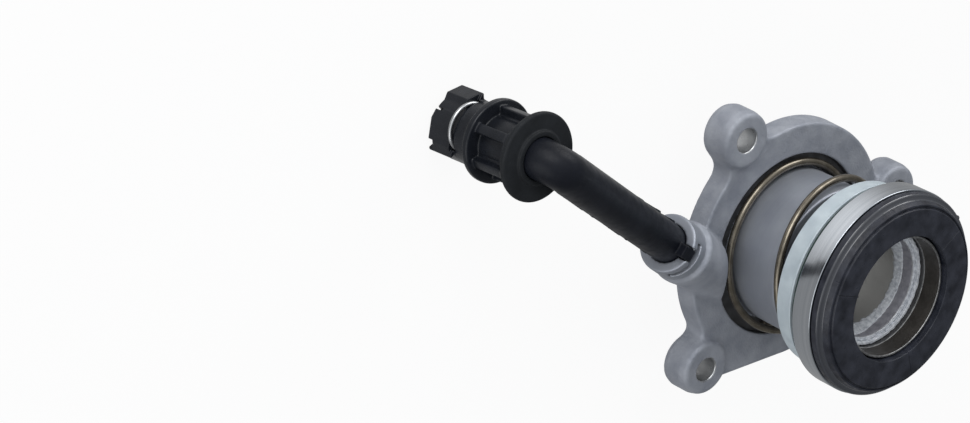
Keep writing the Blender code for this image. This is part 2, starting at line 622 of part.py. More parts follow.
def make_housing():
    """Cast body: flange, lugs, spigot, cylinder tube and the boss for the pipe."""
    flange = soften(plate("housing", [flange_outline()], 0.0, FLANGE_THICKNESS), CAST_EDGE)
    housing = part("housing", flange, cast_aluminium)
    for index, (x, y) in enumerate(lug_centres()):
        outline = [
            (0.0, PAD_HEIGHT),
            (PAD_RADIUS - PAD_EDGE, PAD_HEIGHT),
            (PAD_RADIUS - 0.3 * PAD_EDGE, PAD_HEIGHT - 0.3 * PAD_EDGE),
            (PAD_RADIUS, PAD_HEIGHT - PAD_EDGE),
            (PAD_RADIUS, 1.8 * CAST_EDGE),
            (0.0, 1.2 * CAST_EDGE),
        ]
        pad = cutter(f"lug_pad_{index + 1}", turned(f"lug_pad_{index + 1}", outline, MIDDLE_SIDES))
        pad.location = (x, y, 0.0)
        boolean(housing, pad, "UNION")
    boolean(housing, boss_body(), "UNION")
    recess = [(0.0, RECESS_CLEAR_HEIGHT), (SPRING_RECESS_RADIUS, RECESS_CLEAR_HEIGHT),
              (SPRING_RECESS_RADIUS, SPRING_RECESS_FLOOR), (0.0, SPRING_RECESS_FLOOR)]
    boolean(housing, cutter("spring_recess", turned("spring_recess", recess, WIDE_SIDES)), "DIFFERENCE")
    hub = [
        (0.0, TUBE_LENGTH),
        (TUBE_RADIUS - TUBE_CHAMFER, TUBE_LENGTH),
        (TUBE_RADIUS, TUBE_LENGTH - TUBE_CHAMFER),
        (TUBE_RADIUS, FLANGE_THICKNESS / 2),
        (SPIGOT_RADIUS - GAP, FLANGE_THICKNESS / 2),
        (SPIGOT_RADIUS - GAP, -SPIGOT_HEIGHT + SPIGOT_CHAMFER),
        (SPIGOT_RADIUS - SPIGOT_CHAMFER, -SPIGOT_HEIGHT),
        (0.0, -SPIGOT_HEIGHT),
    ]
    boolean(housing, cutter("hub", turned("hub", hub, WIDE_SIDES)), "UNION")
    groove_low = TUBE_LENGTH - WIPER_BELOW_MOUTH - WIPER_HEIGHT - 2 * GAP
    groove_high = TUBE_LENGTH - WIPER_BELOW_MOUTH
    groove_radius = CHAMBER_RADIUS + WIPER_GROOVE_DEPTH
    bore = [
        (0.0, TUBE_LENGTH + GAP),
        (CHAMBER_RADIUS, TUBE_LENGTH + GAP),
        (CHAMBER_RADIUS, groove_high),
        (groove_radius, groove_high),
        (groove_radius, groove_low),
        (CHAMBER_RADIUS, groove_low),
        (CHAMBER_RADIUS, CHAMBER_FLOOR),
        (SLEEVE_RADIUS + GAP, CHAMBER_FLOOR),
        (SLEEVE_RADIUS + GAP, DISC_POCKET_FLOOR),
        (SLEEVE_SEAL_RADIUS - SLEEVE_SEAL_THICKNESS / 2 - GAP, DISC_POCKET_FLOOR),
        (SLEEVE_SEAL_RADIUS - SLEEVE_SEAL_THICKNESS / 2 - GAP, DISC_POCKET_FLOOR + SEAL_GROOVE_DEPTH),
        (SLEEVE_SEAL_RADIUS + SLEEVE_SEAL_THICKNESS / 2 + GAP, DISC_POCKET_FLOOR + SEAL_GROOVE_DEPTH),
        (SLEEVE_SEAL_RADIUS + SLEEVE_SEAL_THICKNESS / 2 + GAP, DISC_POCKET_FLOOR),
        (SLEEVE_DISC_RADIUS + GAP, DISC_POCKET_FLOOR),
        (SLEEVE_DISC_RADIUS + GAP, -SPIGOT_HEIGHT - GAP),
        (0.0, -SPIGOT_HEIGHT - GAP),
    ]
    boolean(housing, cutter("bore", turned("bore", bore, MIDDLE_SIDES)), "DIFFERENCE")
    for index, (x, y) in enumerate(lug_centres()):
        wide = BOLT_HOLE_RADIUS + BOLT_HOLE_CHAMFER
        over = GAP
        outline = [
            (0.0, PAD_HEIGHT + over),
            (wide + over, PAD_HEIGHT + over),
            (BOLT_HOLE_RADIUS, PAD_HEIGHT - BOLT_HOLE_CHAMFER),
            (BOLT_HOLE_RADIUS, BOLT_HOLE_CHAMFER),
            (wide + over, -over),
            (0.0, -over),
        ]
        hole = cutter(f"bolt_hole_{index + 1}", turned(f"bolt_hole_{index + 1}", outline, SMALL_SIDES))
        hole.location = (x, y, 0.0)
        boolean(housing, hole, "DIFFERENCE")
    for tool in boss_cuts():
        boolean(housing, tool, "DIFFERENCE")


def make_sleeve():
    """Flanged guide sleeve that the piston slides on, and the ring sealing its disc."""
    low = -SPIGOT_HEIGHT
    outline = [
        (SLEEVE_BORE + SLEEVE_END_WALL, SLEEVE_LENGTH),
        (SLEEVE_RADIUS - GAP, SLEEVE_LENGTH),
        (SLEEVE_RADIUS, SLEEVE_LENGTH - GAP),
        (SLEEVE_RADIUS, SLEEVE_DISC_TOP),
        (SLEEVE_DISC_RADIUS, SLEEVE_DISC_TOP),
        (SLEEVE_DISC_RADIUS, low),
        (SLEEVE_BORE + SLEEVE_LEAD_IN, low),
        (SLEEVE_BORE, low + SLEEVE_LEAD_IN),
        (SLEEVE_BORE, SLEEVE_LENGTH - SLEEVE_FUNNEL_DEPTH),
    ]
    part("guide_sleeve", turned("guide_sleeve", outline, MIDDLE_SIDES), turned_steel)
    middle = DISC_POCKET_FLOOR + SLEEVE_SEAL_THICKNESS / 2 - GAP / 2
    half = SEAL_GROOVE_DEPTH / 2 - GAP / 2
    ring = ring_section(SLEEVE_SEAL_RADIUS, middle, half, SLEEVE_SEAL_THICKNESS / 2)
    part("sleeve_seal", turned("sleeve_seal", ring, MIDDLE_SIDES), black_rubber)


def ring_section(radius, height, half_height, half_width, points=6):
    """A rounded section of a sealing ring, going down its outer side."""
    angles = [math.pi / 2 - 2 * math.pi * index / points for index in range(points)]
    return [(radius + half_width * math.cos(a), height + half_height * math.sin(a)) for a in angles]


def make_piston():
    """Annular piston, its pressure seal and the wiper at the tube's mouth."""
    outline = [
        (NOSE_RADIUS - GAP, NOSE_TOP),
        (NOSE_RADIUS, NOSE_TOP - GAP),
        (NOSE_RADIUS, PISTON_SHOULDER),
        (PISTON_RADIUS, PISTON_SHOULDER),
        (PISTON_RADIUS, PISTON_LOW),
        (PISTON_BORE, PISTON_LOW),
        (PISTON_BORE, NOSE_TOP),
    ]
    part("piston", turned("piston", outline, MIDDLE_SIDES), black_plastic)
    low, high = PRESSURE_SEAL_LOW, PRESSURE_SEAL_LOW + PRESSURE_SEAL_HEIGHT
    middle = (PISTON_BORE + PISTON_RADIUS) / 2
    seal = [
        (PISTON_RADIUS - GAP, high),
        (PISTON_RADIUS, low),
        (PISTON_RADIUS - GAP, low),
        (middle, low + SEAL_LIP_DEPTH),
        (PISTON_BORE + GAP, low),
        (PISTON_BORE, low),
        (PISTON_BORE + GAP, high),
    ]
    part("pressure_seal", turned("pressure_seal", seal, MIDDLE_SIDES), black_rubber)
    top = TUBE_LENGTH - WIPER_BELOW_MOUTH - GAP
    wiper = [
        (CHAMBER_RADIUS + WIPER_GROOVE_DEPTH - GAP, top),
        (CHAMBER_RADIUS + WIPER_GROOVE_DEPTH - GAP, top - WIPER_HEIGHT),
        (CHAMBER_RADIUS, top - WIPER_HEIGHT),
        (CHAMBER_RADIUS, top),
    ]
    part("tube_wiper", turned("tube_wiper", wiper, MIDDLE_SIDES), black_rubber)


def coil_rise(turn):
    """Height of the spring wire's centre after some turns: flat, ever steeper, flat again."""
    share = (turn - COIL_TURNS_FLAT_LOW) / COIL_TURNS_RISING
    share = min(1.0, max(0.0, share))
    eased = share ** 2 * (1 + COIL_STEEPENING * (1 - share))
    return COIL_LOW + (COIL_HIGH - COIL_LOW) * eased


def make_spring():
    """Preload spring round the tube, between the housing's recess and the cup."""
    turns = COIL_TURNS_FLAT_LOW + COIL_TURNS_RISING + COIL_TURNS_FLAT_HIGH
    count = round(turns * COIL_POINTS_PER_TURN)
    points = []
    for index in range(count + 1):
        turn = turns * index / count
        angle = COIL_START + 2 * math.pi * turn
        points.append((COIL_RADIUS * math.cos(angle), COIL_RADIUS * math.sin(angle), coil_rise(turn)))
    part("preload_spring", rod("preload_spring", points, WIRE_RADIUS, 8), spring_steel)


def make_cup_and_rear_seal():
    """Pressed spring cup, the seal's plate and the rubber rear seal of the bearing."""
    skirt_low = CUP_WEB_HIGH - CUP_SHEET - CUP_SKIRT
    inner = CUP_RADIUS - CUP_SHEET
    bore = NOSE_RADIUS + GAP
    cup = [
        (CUP_RADIUS - CUP_CORNER, CUP_WEB_HIGH),
        (CUP_RADIUS - 0.3 * CUP_CORNER, CUP_WEB_HIGH - 0.3 * CUP_CORNER),
        (CUP_RADIUS, CUP_WEB_HIGH - CUP_CORNER),
        (CUP_RADIUS, skirt_low),
        (inner, skirt_low),
        (inner, CUP_WEB_LOW),
        (bore, CUP_WEB_LOW),
        (bore, CUP_WEB_HIGH),
    ]
    part("spring_cup", turned("spring_cup", cup, WIDE_SIDES), zinc_sheet)
    washer = [(PLATE_RADIUS, PLATE_HIGH), (PLATE_RADIUS, PLATE_LOW),
              (PLATE_BORE, PLATE_LOW), (PLATE_BORE, PLATE_HIGH)]
    part("seal_plate", turned("seal_plate", washer, MIDDLE_SIDES), turned_steel)
    seal = [
        (REAR_SEAL_RADIUS - GAP, REAR_SEAL_HIGH),
        (REAR_SEAL_RADIUS, REAR_SEAL_HIGH - 2 * GAP),
        (REAR_SEAL_RADIUS, REAR_SEAL_LOW + GAP),
        (REAR_SEAL_RADIUS - GAP, REAR_SEAL_LOW),
        (REAR_SEAL_BORE, REAR_SEAL_LOW),
        (REAR_SEAL_RADIUS - 2 * MM, REAR_SEAL_HIGH),
    ]
    part("rear_seal", turned("rear_seal", seal, MIDDLE_SIDES), green_rubber)


def race(start, end):
    """Points of the ball race's curve between two angles from straight out, in degrees."""
    return arc((BALL_PITCH_RADIUS, BALL_HEIGHT), RACE_RADIUS, math.radians(start), math.radians(end),
               RACE_STEP)


def make_bearing():
    """Angular-contact ball bearing: two rings, a cage and its balls, with a front seal."""
    groove = race(-20.0, 95.0)
    outer = [
        (OUTER_RING_RADIUS - OUTER_RING_CORNER, OUTER_RING_HIGH),
        (OUTER_RING_RADIUS, OUTER_RING_HIGH - OUTER_RING_CORNER),
        (OUTER_RING_RADIUS, OUTER_RING_LOW + OUTER_RING_CORNER / 2),
        (OUTER_RING_RADIUS - OUTER_RING_CORNER / 2, OUTER_RING_LOW),
        (BALL_PITCH_RADIUS + RACE_RADIUS + GAP, OUTER_RING_LOW),
        *groove,
        (OUTER_RING_MOUTH, groove[-1][1]),
        (OUTER_RING_MOUTH, OUTER_RING_HIGH),
    ]
    part("outer_ring", turned("outer_ring", outer, WIDE_SIDES), polished_steel)
    curve = race(165.0, 260.0)
    inner = [
        (INNER_RING_NECK, INNER_RING_TOP),
        (INNER_RING_NECK, curve[0][1] + 2 * MM),
        *curve,
        (curve[-1][0], INNER_RING_LOW),
        (INNER_RING_BORE, INNER_RING_LOW),
        (INNER_RING_BORE, INNER_RING_TOP),
    ]
    part("inner_ring", turned("inner_ring", inner, MIDDLE_SIDES), dark_steel)
    front_seal_high = THRUST_LOW - GAP
    front_seal_low = front_seal_high - FRONT_SEAL_HEIGHT
    cone_middle = BALL_PITCH_RADIUS + BALL_HEIGHT
    cone_half = CAGE_SHEET * math.sqrt(0.5)
    cage_high = front_seal_low - GAP
    cage_low = REAR_SEAL_HIGH + GAP
    cage_edge = BALL_PITCH_RADIUS + RACE_RADIUS - GAP
    cone = [
        (cone_middle + cone_half - cage_high, cage_high),
        (cage_edge, cone_middle + cone_half - cage_edge),
        (cage_edge, cage_low),
        (cone_middle - cone_half - cage_low, cage_low),
        (cone_middle - cone_half - cage_high, cage_high),
    ]
    cage = part("ball_cage", turned("ball_cage", cone, MIDDLE_SIDES), cage_plastic)
    pocket_length = 4 * CAGE_SHEET
    pocket_radius = BALL_RADIUS + POCKET_GAP
    drill = turned("pocket", [(0.0, pocket_length), (pocket_radius, pocket_length),
                              (pocket_radius, -pocket_length), (0.0, -pocket_length)], 12)
    ball_form = bmesh.new()
    bmesh.ops.create_icosphere(ball_form, subdivisions=2, radius=BALL_RADIUS)
    ball_mesh = bpy.data.meshes.new("ball")
    ball_form.to_mesh(ball_mesh)
    ball_form.free()
    for index in range(BALL_COUNT):
        angle = 2 * math.pi * index / BALL_COUNT
        place = (BALL_PITCH_RADIUS * math.cos(angle), BALL_PITCH_RADIUS * math.sin(angle), BALL_HEIGHT)
        hole = cutter(f"ball_pocket_{index + 1:02d}", drill)
        hole.location = place
        hole.rotation_euler = (0.0, math.radians(45.0), angle)
        boolean(cage, hole, "DIFFERENCE")
        ball = part(f"ball_{index + 1:02d}", ball_mesh, polished_steel)
        ball.location = place
        ball.parent = cage
    seal_radius = OUTER_RING_MOUTH - THRUST_SPIGOT_WALL - 2 * GAP
    seal = [(seal_radius, front_seal_high), (seal_radius, front_seal_low),
            (INNER_RING_NECK + RUNNING_GAP, front_seal_low),
            (INNER_RING_NECK + RUNNING_GAP, front_seal_high)]
    part("front_seal", turned("front_seal", seal, MIDDLE_SIDES), black_rubber)


def make_thrust_ring():
    """Moulded ring on the front of the bearing, with a spigot inside the outer ring's mouth."""
    groove_outer = THRUST_FACE_RADIUS + THRUST_GROOVE_WIDTH
    groove_floor = THRUST_FACE_HEIGHT - THRUST_GROOVE_DEPTH
    shoulder = THRUST_LOW + THRUST_SHOULDER
    corner = 0.9 * MM
    spigot = OUTER_RING_MOUTH - GAP
    outline = [
        (THRUST_FACE_RADIUS, THRUST_FACE_HEIGHT),
        (THRUST_FACE_RADIUS + GAP, groove_floor),
        (groove_outer, groove_floor - GAP),
        (groove_outer + 2 * GAP, groove_floor),
        (THRUST_OUTER_RADIUS - 2 * corner, shoulder + 0.4 * corner),
        (THRUST_OUTER_RADIUS - 0.5 * corner, shoulder - 0.2 * corner),
        (THRUST_OUTER_RADIUS, shoulder - corner),
        (THRUST_OUTER_RADIUS, THRUST_LOW),
        (spigot, THRUST_LOW),
        (spigot, THRUST_LOW - THRUST_SPIGOT_DEPTH),
        (spigot - THRUST_SPIGOT_WALL, THRUST_LOW - THRUST_SPIGOT_DEPTH),
        (spigot - THRUST_SPIGOT_WALL, THRUST_LOW),
        (THRUST_BORE, THRUST_LOW),
        (THRUST_BORE, THRUST_FACE_HEIGHT - THRUST_BORE_EDGE),
        (THRUST_BORE + THRUST_BORE_EDGE, THRUST_FACE_HEIGHT),
    ]
    part("thrust_ring", turned("thrust_ring", outline, WIDE_SIDES), black_plastic)


def pipe_points(start_extra, end_extra):
    """The pipe's centre line from inside the boss, round the corner and down into the connector."""
    down = on_connector_axis()
    turning = math.acos(PIPE_DIRECTION.dot(down))
    setback = PIPE_BEND * math.tan(turning / 2)
    start = BOSS_MOUTH - (PIPE_IN_BOSS + start_extra) * PIPE_DIRECTION
    bend_start = PIPE_CORNER - setback * PIPE_DIRECTION
    towards_centre = (down - PIPE_DIRECTION * PIPE_DIRECTION.dot(down)).normalized()
    centre = bend_start + PIPE_BEND * towards_centre
    points = [start]
    for index in range(PIPE_BEND_STEPS + 1):
        angle = turning * index / PIPE_BEND_STEPS
        swing = -math.cos(angle) * towards_centre + math.sin(angle) * PIPE_DIRECTION
        points.append(centre + PIPE_BEND * swing)
    points.append(PIPE_CORNER + (PIPE_IN_CONNECTOR + end_extra) * down)
    return points


def on_connector_axis():
    """The direction from the pipe's corner towards the connector's mouth."""
    turn = Matrix.Rotation(CONNECTOR_TILT[1], 3, "Y") @ Matrix.Rotation(CONNECTOR_TILT[0], 3, "X")
    return turn @ Vector((0.0, 0.0, -1.0))


def make_pipe():
    """Moulded fluid pipe with its key, the ring on its end and the clip that holds it in the boss."""
    pipe = part("fluid_pipe", rod("fluid_pipe", pipe_points(0.0, 0.0), PIPE_RADIUS, 20), black_plastic)
    outer = PIPE_RADIUS + KEY_HEIGHT
    half = KEY_WIDTH / 2
    key = box("pipe_key", (-outer, -half, -KEY_DEPTH), (-PIPE_BORE - 1.0 * MM, half, KEY_LENGTH - KEY_DEPTH))
    boolean(pipe, on_boss(cutter("pipe_key", key)), "UNION")
    neck_low = -PIPE_IN_BOSS + PIPE_NECK_FROM_END
    neck = [(2 * PIPE_RADIUS, neck_low + PIPE_NECK_LENGTH), (2 * PIPE_RADIUS, neck_low),
            (PIPE_NECK_RADIUS, neck_low), (PIPE_NECK_RADIUS, neck_low + PIPE_NECK_LENGTH)]
    boolean(pipe, on_boss(cutter("pipe_neck", turned("pipe_neck", neck, SMALL_SIDES))), "DIFFERENCE")
    hollow = rod("pipe_hollow", pipe_points(1.0 * MM, 1.0 * MM), PIPE_BORE, 12)
    boolean(pipe, cutter("pipe_hollow", hollow), "DIFFERENCE")
    seal_middle = neck_low + PIPE_NECK_LENGTH / 2
    half_width = (POCKET_RADIUS - PIPE_NECK_RADIUS) / 2 - 2 * GAP / 3
    ring = ring_section((POCKET_RADIUS + PIPE_NECK_RADIUS) / 2, seal_middle,
                        PIPE_NECK_LENGTH / 2 - GAP, half_width)
    on_boss(part("pipe_seal", turned("pipe_seal", ring, SMALL_SIDES), black_rubber))
    first, last = (start_angle(angle) for angle in CLIP_ENDS)
    steps = 22
    points = []
    for index in range(steps + 1):
        angle = first + (last - first) * index / steps
        points.append((CLIP_RING_RADIUS * math.cos(angle), CLIP_RING_RADIUS * math.sin(angle), -CLIP_DEPTH))
    on_boss(part("pipe_clip", rod("pipe_clip", points, CLIP_WIRE_RADIUS, 8), bright_wire))


def make_connector():
    """Rubber grommet, plug-in connector with its socket seal, and the wire clip that locks it."""
    collar_bore = GROMMET_COLLAR_RADIUS - GROMMET_COLLAR_WALL
    low = GROMMET_TOP - GROMMET_THICKNESS
    grommet = [
        (GROMMET_COLLAR_RADIUS, GROMMET_TOP + GROMMET_COLLAR_HEIGHT),
        (GROMMET_COLLAR_RADIUS, GROMMET_TOP),
        (GROMMET_RADIUS - GAP, GROMMET_TOP),
        (GROMMET_RADIUS, GROMMET_TOP - GROMMET_THICKNESS / 2),
        (GROMMET_RADIUS - GAP, low),
        (POCKET_RADIUS, low),
        (POCKET_RADIUS, low + GROMMET_THICKNESS / 2),
        (collar_bore, GROMMET_TOP),
        (collar_bore, GROMMET_TOP + GROMMET_COLLAR_HEIGHT),
    ]
    disc = on_connector(part("grommet", turned("grommet", grommet, MIDDLE_SIDES), black_rubber))
    arriving = [PIPE_CORNER - 2 * GROMMET_RADIUS * PIPE_DIRECTION, PIPE_CORNER]
    boolean(disc, cutter("pipe_relief", rod("pipe_relief", arriving, POCKET_RADIUS, 20)), "DIFFERENCE")
    top = CONNECTOR_TOP
    mouth = CONNECTOR_MOUTH
    window_high = top - NECK_TOP_BAND
    window_low = window_high - WINDOW_LENGTH
    flange_low = window_low - COLLAR_FLANGE_THICKNESS
    barrel_low = flange_low - BARREL_LENGTH
    pipe_stop = -PIPE_IN_CONNECTOR - GAP
    socket_end = mouth + SOCKET_DEPTH
    seat_end = mouth + SEAT_DEPTH
    seal_middle = mouth + SOCKET_SEAL_FROM_MOUTH
    seal_half = SOCKET_SEAL_THICKNESS / 2
    seal_groove = SEAT_RADIUS + SOCKET_SEAL_THICKNESS / 2
    round_over = 2.0 * MM
    body = [
        (RIB_RADIUS, top),
        (RIB_RADIUS, window_low),
        (COLLAR_FLANGE_RADIUS, window_low),
        (COLLAR_FLANGE_RADIUS, flange_low),
        (BARREL_RADIUS + 0.3 * round_over, flange_low - round_over),
        (BARREL_RADIUS, flange_low - 1.6 * round_over),
        (BARREL_RADIUS, mouth + GAP),
        (SOCKET_RADIUS + 2 * GAP, mouth),
        (SOCKET_RADIUS, mouth + 2 * GAP),
        (SOCKET_RADIUS, socket_end),
        (SEAT_RADIUS, socket_end + (SOCKET_RADIUS - SEAT_RADIUS)),
        (SEAT_RADIUS, seal_middle - seal_half),
        (seal_groove, seal_middle - seal_half),
        (seal_groove, seal_middle + seal_half),
        (SEAT_RADIUS, seal_middle + seal_half),
        (SEAT_RADIUS, seat_end),
        (CONNECTOR_PORT_RADIUS, seat_end),
        (CONNECTOR_PORT_RADIUS, pipe_stop),
        (POCKET_RADIUS, pipe_stop),
        (POCKET_RADIUS, top),
    ]
    connector = on_connector(part("connector_body", turned("connector_body", body, MIDDLE_SIDES),
                                  black_plastic))
    head_back = barrel_low
    inside = (SOCKET_RADIUS + BARREL_RADIUS) / 2
    head = [(HEAD_RADIUS - GAP, head_back), (HEAD_RADIUS, head_back - GAP), (HEAD_RADIUS, mouth + GAP),
            (HEAD_RADIUS - 2 * GAP, mouth + GAP / 2), (inside, mouth + GAP / 2), (inside, head_back)]
    head_tool = on_connector(cutter("socket_head", turned("socket_head", head, HEAD_SIDES)))
    boolean(connector, head_tool, "UNION")
    for index, angle in enumerate(TOOTH_ANGLES):
        reach = HEAD_RADIUS + TOOTH_HEIGHT
        tooth = box(f"tooth_{index + 1}", (inside, -TOOTH_WIDTH / 2, mouth + 2 * GAP),
                    (reach, TOOTH_WIDTH / 2, mouth + TOOTH_LENGTH))
        tooth.transform(Matrix.Rotation(angle, 4, "Z"))
        boolean(connector, on_connector(cutter(f"tooth_{index + 1}", tooth)), "UNION")
    window = (2 * math.pi / RIB_COUNT) - 2 * RIB_HALF_ANGLE
    windows = []
    for index in range(RIB_COUNT):
        start = 2 * math.pi * index / RIB_COUNT + RIB_HALF_ANGLE
        windows.append(sector(NECK_RADIUS, RIB_RADIUS + 1.0 * MM, start, start + window, 2 * ARC_STEP))
    neck_tool = on_connector(cutter("neck_windows", plate("neck_windows", windows, window_low, window_high)))
    boolean(connector, neck_tool, "DIFFERENCE")
    for index, angle in enumerate(HEAD_NOTCH_ANGLES):
        notch = box(f"head_notch_{index + 1}", (SOCKET_RADIUS + 1.2 * MM, -HEAD_NOTCH_WIDTH / 2, mouth - GAP),
                    (2 * HEAD_RADIUS, HEAD_NOTCH_WIDTH / 2, mouth + HEAD_NOTCH_DEPTH))
        notch.transform(Matrix.Rotation(angle, 4, "Z"))
        boolean(connector, on_connector(cutter(f"head_notch_{index + 1}", notch)), "DIFFERENCE")
    clip_height = mouth + WIRE_CLIP_FROM_MOUTH
    slot_low = clip_height - WIRE_CLIP_SLOT / 2
    slot_high = clip_height + WIRE_CLIP_SLOT / 2
    floor = WIRE_CLIP_ARM - WIRE_CLIP_RADIUS - GAP
    for side in (-1, 1):
        near, far = sorted((side * floor, side * 2 * BARREL_RADIUS))
        slot = box(f"clip_slot_{side}", (-2 * BARREL_RADIUS, near, slot_low),
                   (2 * BARREL_RADIUS, far, slot_high))
        boolean(connector, on_connector(cutter(f"clip_slot_{side}", slot)), "DIFFERENCE")
    front = box("clip_slot_front", (WIRE_CLIP_FRONT, -2 * BARREL_RADIUS, slot_low),
                (2 * BARREL_RADIUS, 2 * BARREL_RADIUS, slot_high))
    front_tool = on_connector(cutter("clip_slot_front", front))
    ring = turned("socket_wall", [(floor, slot_high + GAP), (floor, slot_low - GAP),
                                  (SEAT_RADIUS / 2, slot_low - GAP), (SEAT_RADIUS / 2, slot_high + GAP)],
                  MIDDLE_SIDES)
    boolean(front_tool, on_connector(cutter("socket_wall", ring)), "DIFFERENCE")
    boolean(connector, front_tool, "DIFFERENCE")
    seal = ring_section(seal_groove - seal_half / 2 - GAP, seal_middle, seal_half - GAP,
                        seal_half / 2 + GAP / 2)
    on_connector(part("socket_seal", turned("socket_seal", seal, SMALL_SIDES), black_rubber))
    bow_radius = (WIRE_CLIP_ARM ** 2 + (WIRE_CLIP_BOW - WIRE_CLIP_FRONT) ** 2) / (
        2 * (WIRE_CLIP_BOW - WIRE_CLIP_FRONT))
    bow_centre = WIRE_CLIP_BOW - bow_radius
    swing = math.atan2(WIRE_CLIP_ARM, WIRE_CLIP_FRONT - bow_centre)
    bow = arc((bow_centre, 0.0), bow_radius, -swing, swing, math.radians(12.0))
    outline = [(-WIRE_CLIP_BACK, -WIRE_CLIP_ARM), *bow, (-WIRE_CLIP_BACK, WIRE_CLIP_ARM)]
    points = [(x, y, clip_height) for x, y in outline]
    on_connector(part("wire_clip", rod("wire_clip", points, WIRE_CLIP_RADIUS, 8), bright_wire))


def settle():
    """Apply each piece's joins and cuts, and mark its sharp edges."""
    bpy.context.view_layer.update()
    graph = bpy.context.evaluated_depsgraph_get()
    settled = {}
    for piece in parts.objects:
        if piece.modifiers:
            settled[piece] = bpy.data.meshes.new_from_object(piece.evaluated_get(graph))
    for piece, mesh in settled.items():
        piece.modifiers.clear()
        piece.data = mesh
        mesh.name = piece.name
        mesh.shade_smooth()
        mesh.set_sharp_from_angle(angle=math.radians(35.0))


make_housing()
make_sleeve()
make_piston()
make_spring()
make_cup_and_rear_seal()
make_bearing()
make_thrust_ring()
make_pipe()
make_connector()
settle()
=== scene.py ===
# Concentric slave cylinder: the looks of a hydraulic clutch release unit, dressed round its CAD part.
# The part's lengths are in millimetres, in its own frame: +Z runs from the gearbox to the clutch.
import math

import bpy
import numpy as np
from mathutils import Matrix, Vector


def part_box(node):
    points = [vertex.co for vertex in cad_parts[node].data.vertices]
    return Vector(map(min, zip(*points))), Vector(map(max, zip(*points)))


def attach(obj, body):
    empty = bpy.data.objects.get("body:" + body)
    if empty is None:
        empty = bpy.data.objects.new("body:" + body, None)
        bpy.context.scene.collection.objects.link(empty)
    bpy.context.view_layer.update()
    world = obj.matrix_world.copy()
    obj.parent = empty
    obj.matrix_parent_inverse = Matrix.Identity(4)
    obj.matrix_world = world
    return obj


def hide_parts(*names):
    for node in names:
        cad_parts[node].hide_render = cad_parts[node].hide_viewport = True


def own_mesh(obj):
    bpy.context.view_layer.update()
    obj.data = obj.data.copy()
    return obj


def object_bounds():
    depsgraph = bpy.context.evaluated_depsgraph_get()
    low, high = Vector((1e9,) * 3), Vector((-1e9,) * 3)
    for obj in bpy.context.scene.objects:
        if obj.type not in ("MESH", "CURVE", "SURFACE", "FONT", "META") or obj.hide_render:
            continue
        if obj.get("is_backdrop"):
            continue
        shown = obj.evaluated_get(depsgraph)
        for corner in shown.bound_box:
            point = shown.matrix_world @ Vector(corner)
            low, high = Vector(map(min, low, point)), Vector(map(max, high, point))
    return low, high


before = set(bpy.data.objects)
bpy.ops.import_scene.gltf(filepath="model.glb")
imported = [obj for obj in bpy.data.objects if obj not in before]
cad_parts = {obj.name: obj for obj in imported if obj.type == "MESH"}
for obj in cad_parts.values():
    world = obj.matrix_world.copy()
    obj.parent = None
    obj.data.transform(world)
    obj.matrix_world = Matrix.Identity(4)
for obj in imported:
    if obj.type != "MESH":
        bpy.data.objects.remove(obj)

import openvdb
from mathutils import Euler, Matrix, Vector, noise

MM = 0.001
cad_low, cad_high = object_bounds()


# The studio: a camera at the photograph's angle, above and to one side of the flange. The part
# stands on a wide pale floor in a white tent, lit by three soft boxes and the tent itself. The
# studio's lengths are in metres.
CAMERA_PLACE = (0.6037863, 0.0596346, 0.5130464)
CAMERA_TURN = (-27.04685, -41.49013, -138.01311)
CAMERA_LENS = 86.59
CAMERA_SHIFT = (-0.2175, 0.0304)
SENSOR_WIDTH = 36.0
SEEN_FROM = 0.01
SEEN_TO = 50.0
FLOOR_COLOUR = (0.80, 0.80, 0.81, 1.0)
FLOOR_REACH = 6.0
FLOOR_GAP = 0.2 * MM
SEEN_WHITE = 0.92
TENT_LIGHT = 0.58
TENT_TINT = (0.97, 0.985, 1.0, 1.0)
MIRROR_TINT = (0.95, 0.975, 1.0, 1.0)
PURE_WHITE = (1.0, 1.0, 1.0, 1.0)
TENT_MIRRORED = (0.20, 1.05)
FLOOR_MIRRORED = (0.34, 1.05)
LIT_SIDE = Vector((0.86, -0.50, 0.08))
LIT_FLOOR = (0.115, -0.085)
LAMP_AIM = (0.03, 0.0, 0.02)

camera = bpy.data.objects.new("camera", bpy.data.cameras.new("camera"))
bpy.context.scene.collection.objects.link(camera)
camera.location = CAMERA_PLACE
camera.rotation_euler = [math.radians(angle) for angle in CAMERA_TURN]
camera.data.lens = CAMERA_LENS
camera.data.sensor_width = SENSOR_WIDTH
camera.data.shift_x, camera.data.shift_y = CAMERA_SHIFT
camera.data.clip_start = SEEN_FROM
camera.data.clip_end = SEEN_TO
bpy.context.scene.camera = camera
bpy.context.scene.view_settings.view_transform = "Standard"


def seen_rays(nodes, links):
    """A factor of 1 for what the eye or a see-through surface looks at, and one for a reflection."""
    path = nodes.new("ShaderNodeLightPath")
    higher = nodes.new("ShaderNodeMath")
    higher.operation = "MAXIMUM"
    links.new(path.outputs["Is Camera Ray"], higher.inputs[0])
    links.new(path.outputs["Is Transmission Ray"], higher.inputs[1])
    return higher.outputs[0], path.outputs["Is Glossy Ray"]


def graded(nodes, links, value, start, end, levels):
    """A brightness that rises softly between two levels as a value goes from start to end."""
    grade = nodes.new("ShaderNodeMapRange")
    grade.interpolation_type = "SMOOTHSTEP"
    grade.inputs["From Min"].default_value = start
    grade.inputs["From Max"].default_value = end
    grade.inputs["To Min"].default_value = levels[0]
    grade.inputs["To Max"].default_value = levels[1]
    links.new(value, grade.inputs["Value"])
    return grade.outputs["Result"]


def chosen(nodes, links, factor, otherwise, this):
    """One shader, or another where a factor is 1."""
    either = nodes.new("ShaderNodeMixShader")
    links.new(factor, either.inputs["Fac"])
    links.new(otherwise, either.inputs[1])
    links.new(this, either.inputs[2])
    return either.outputs[0]


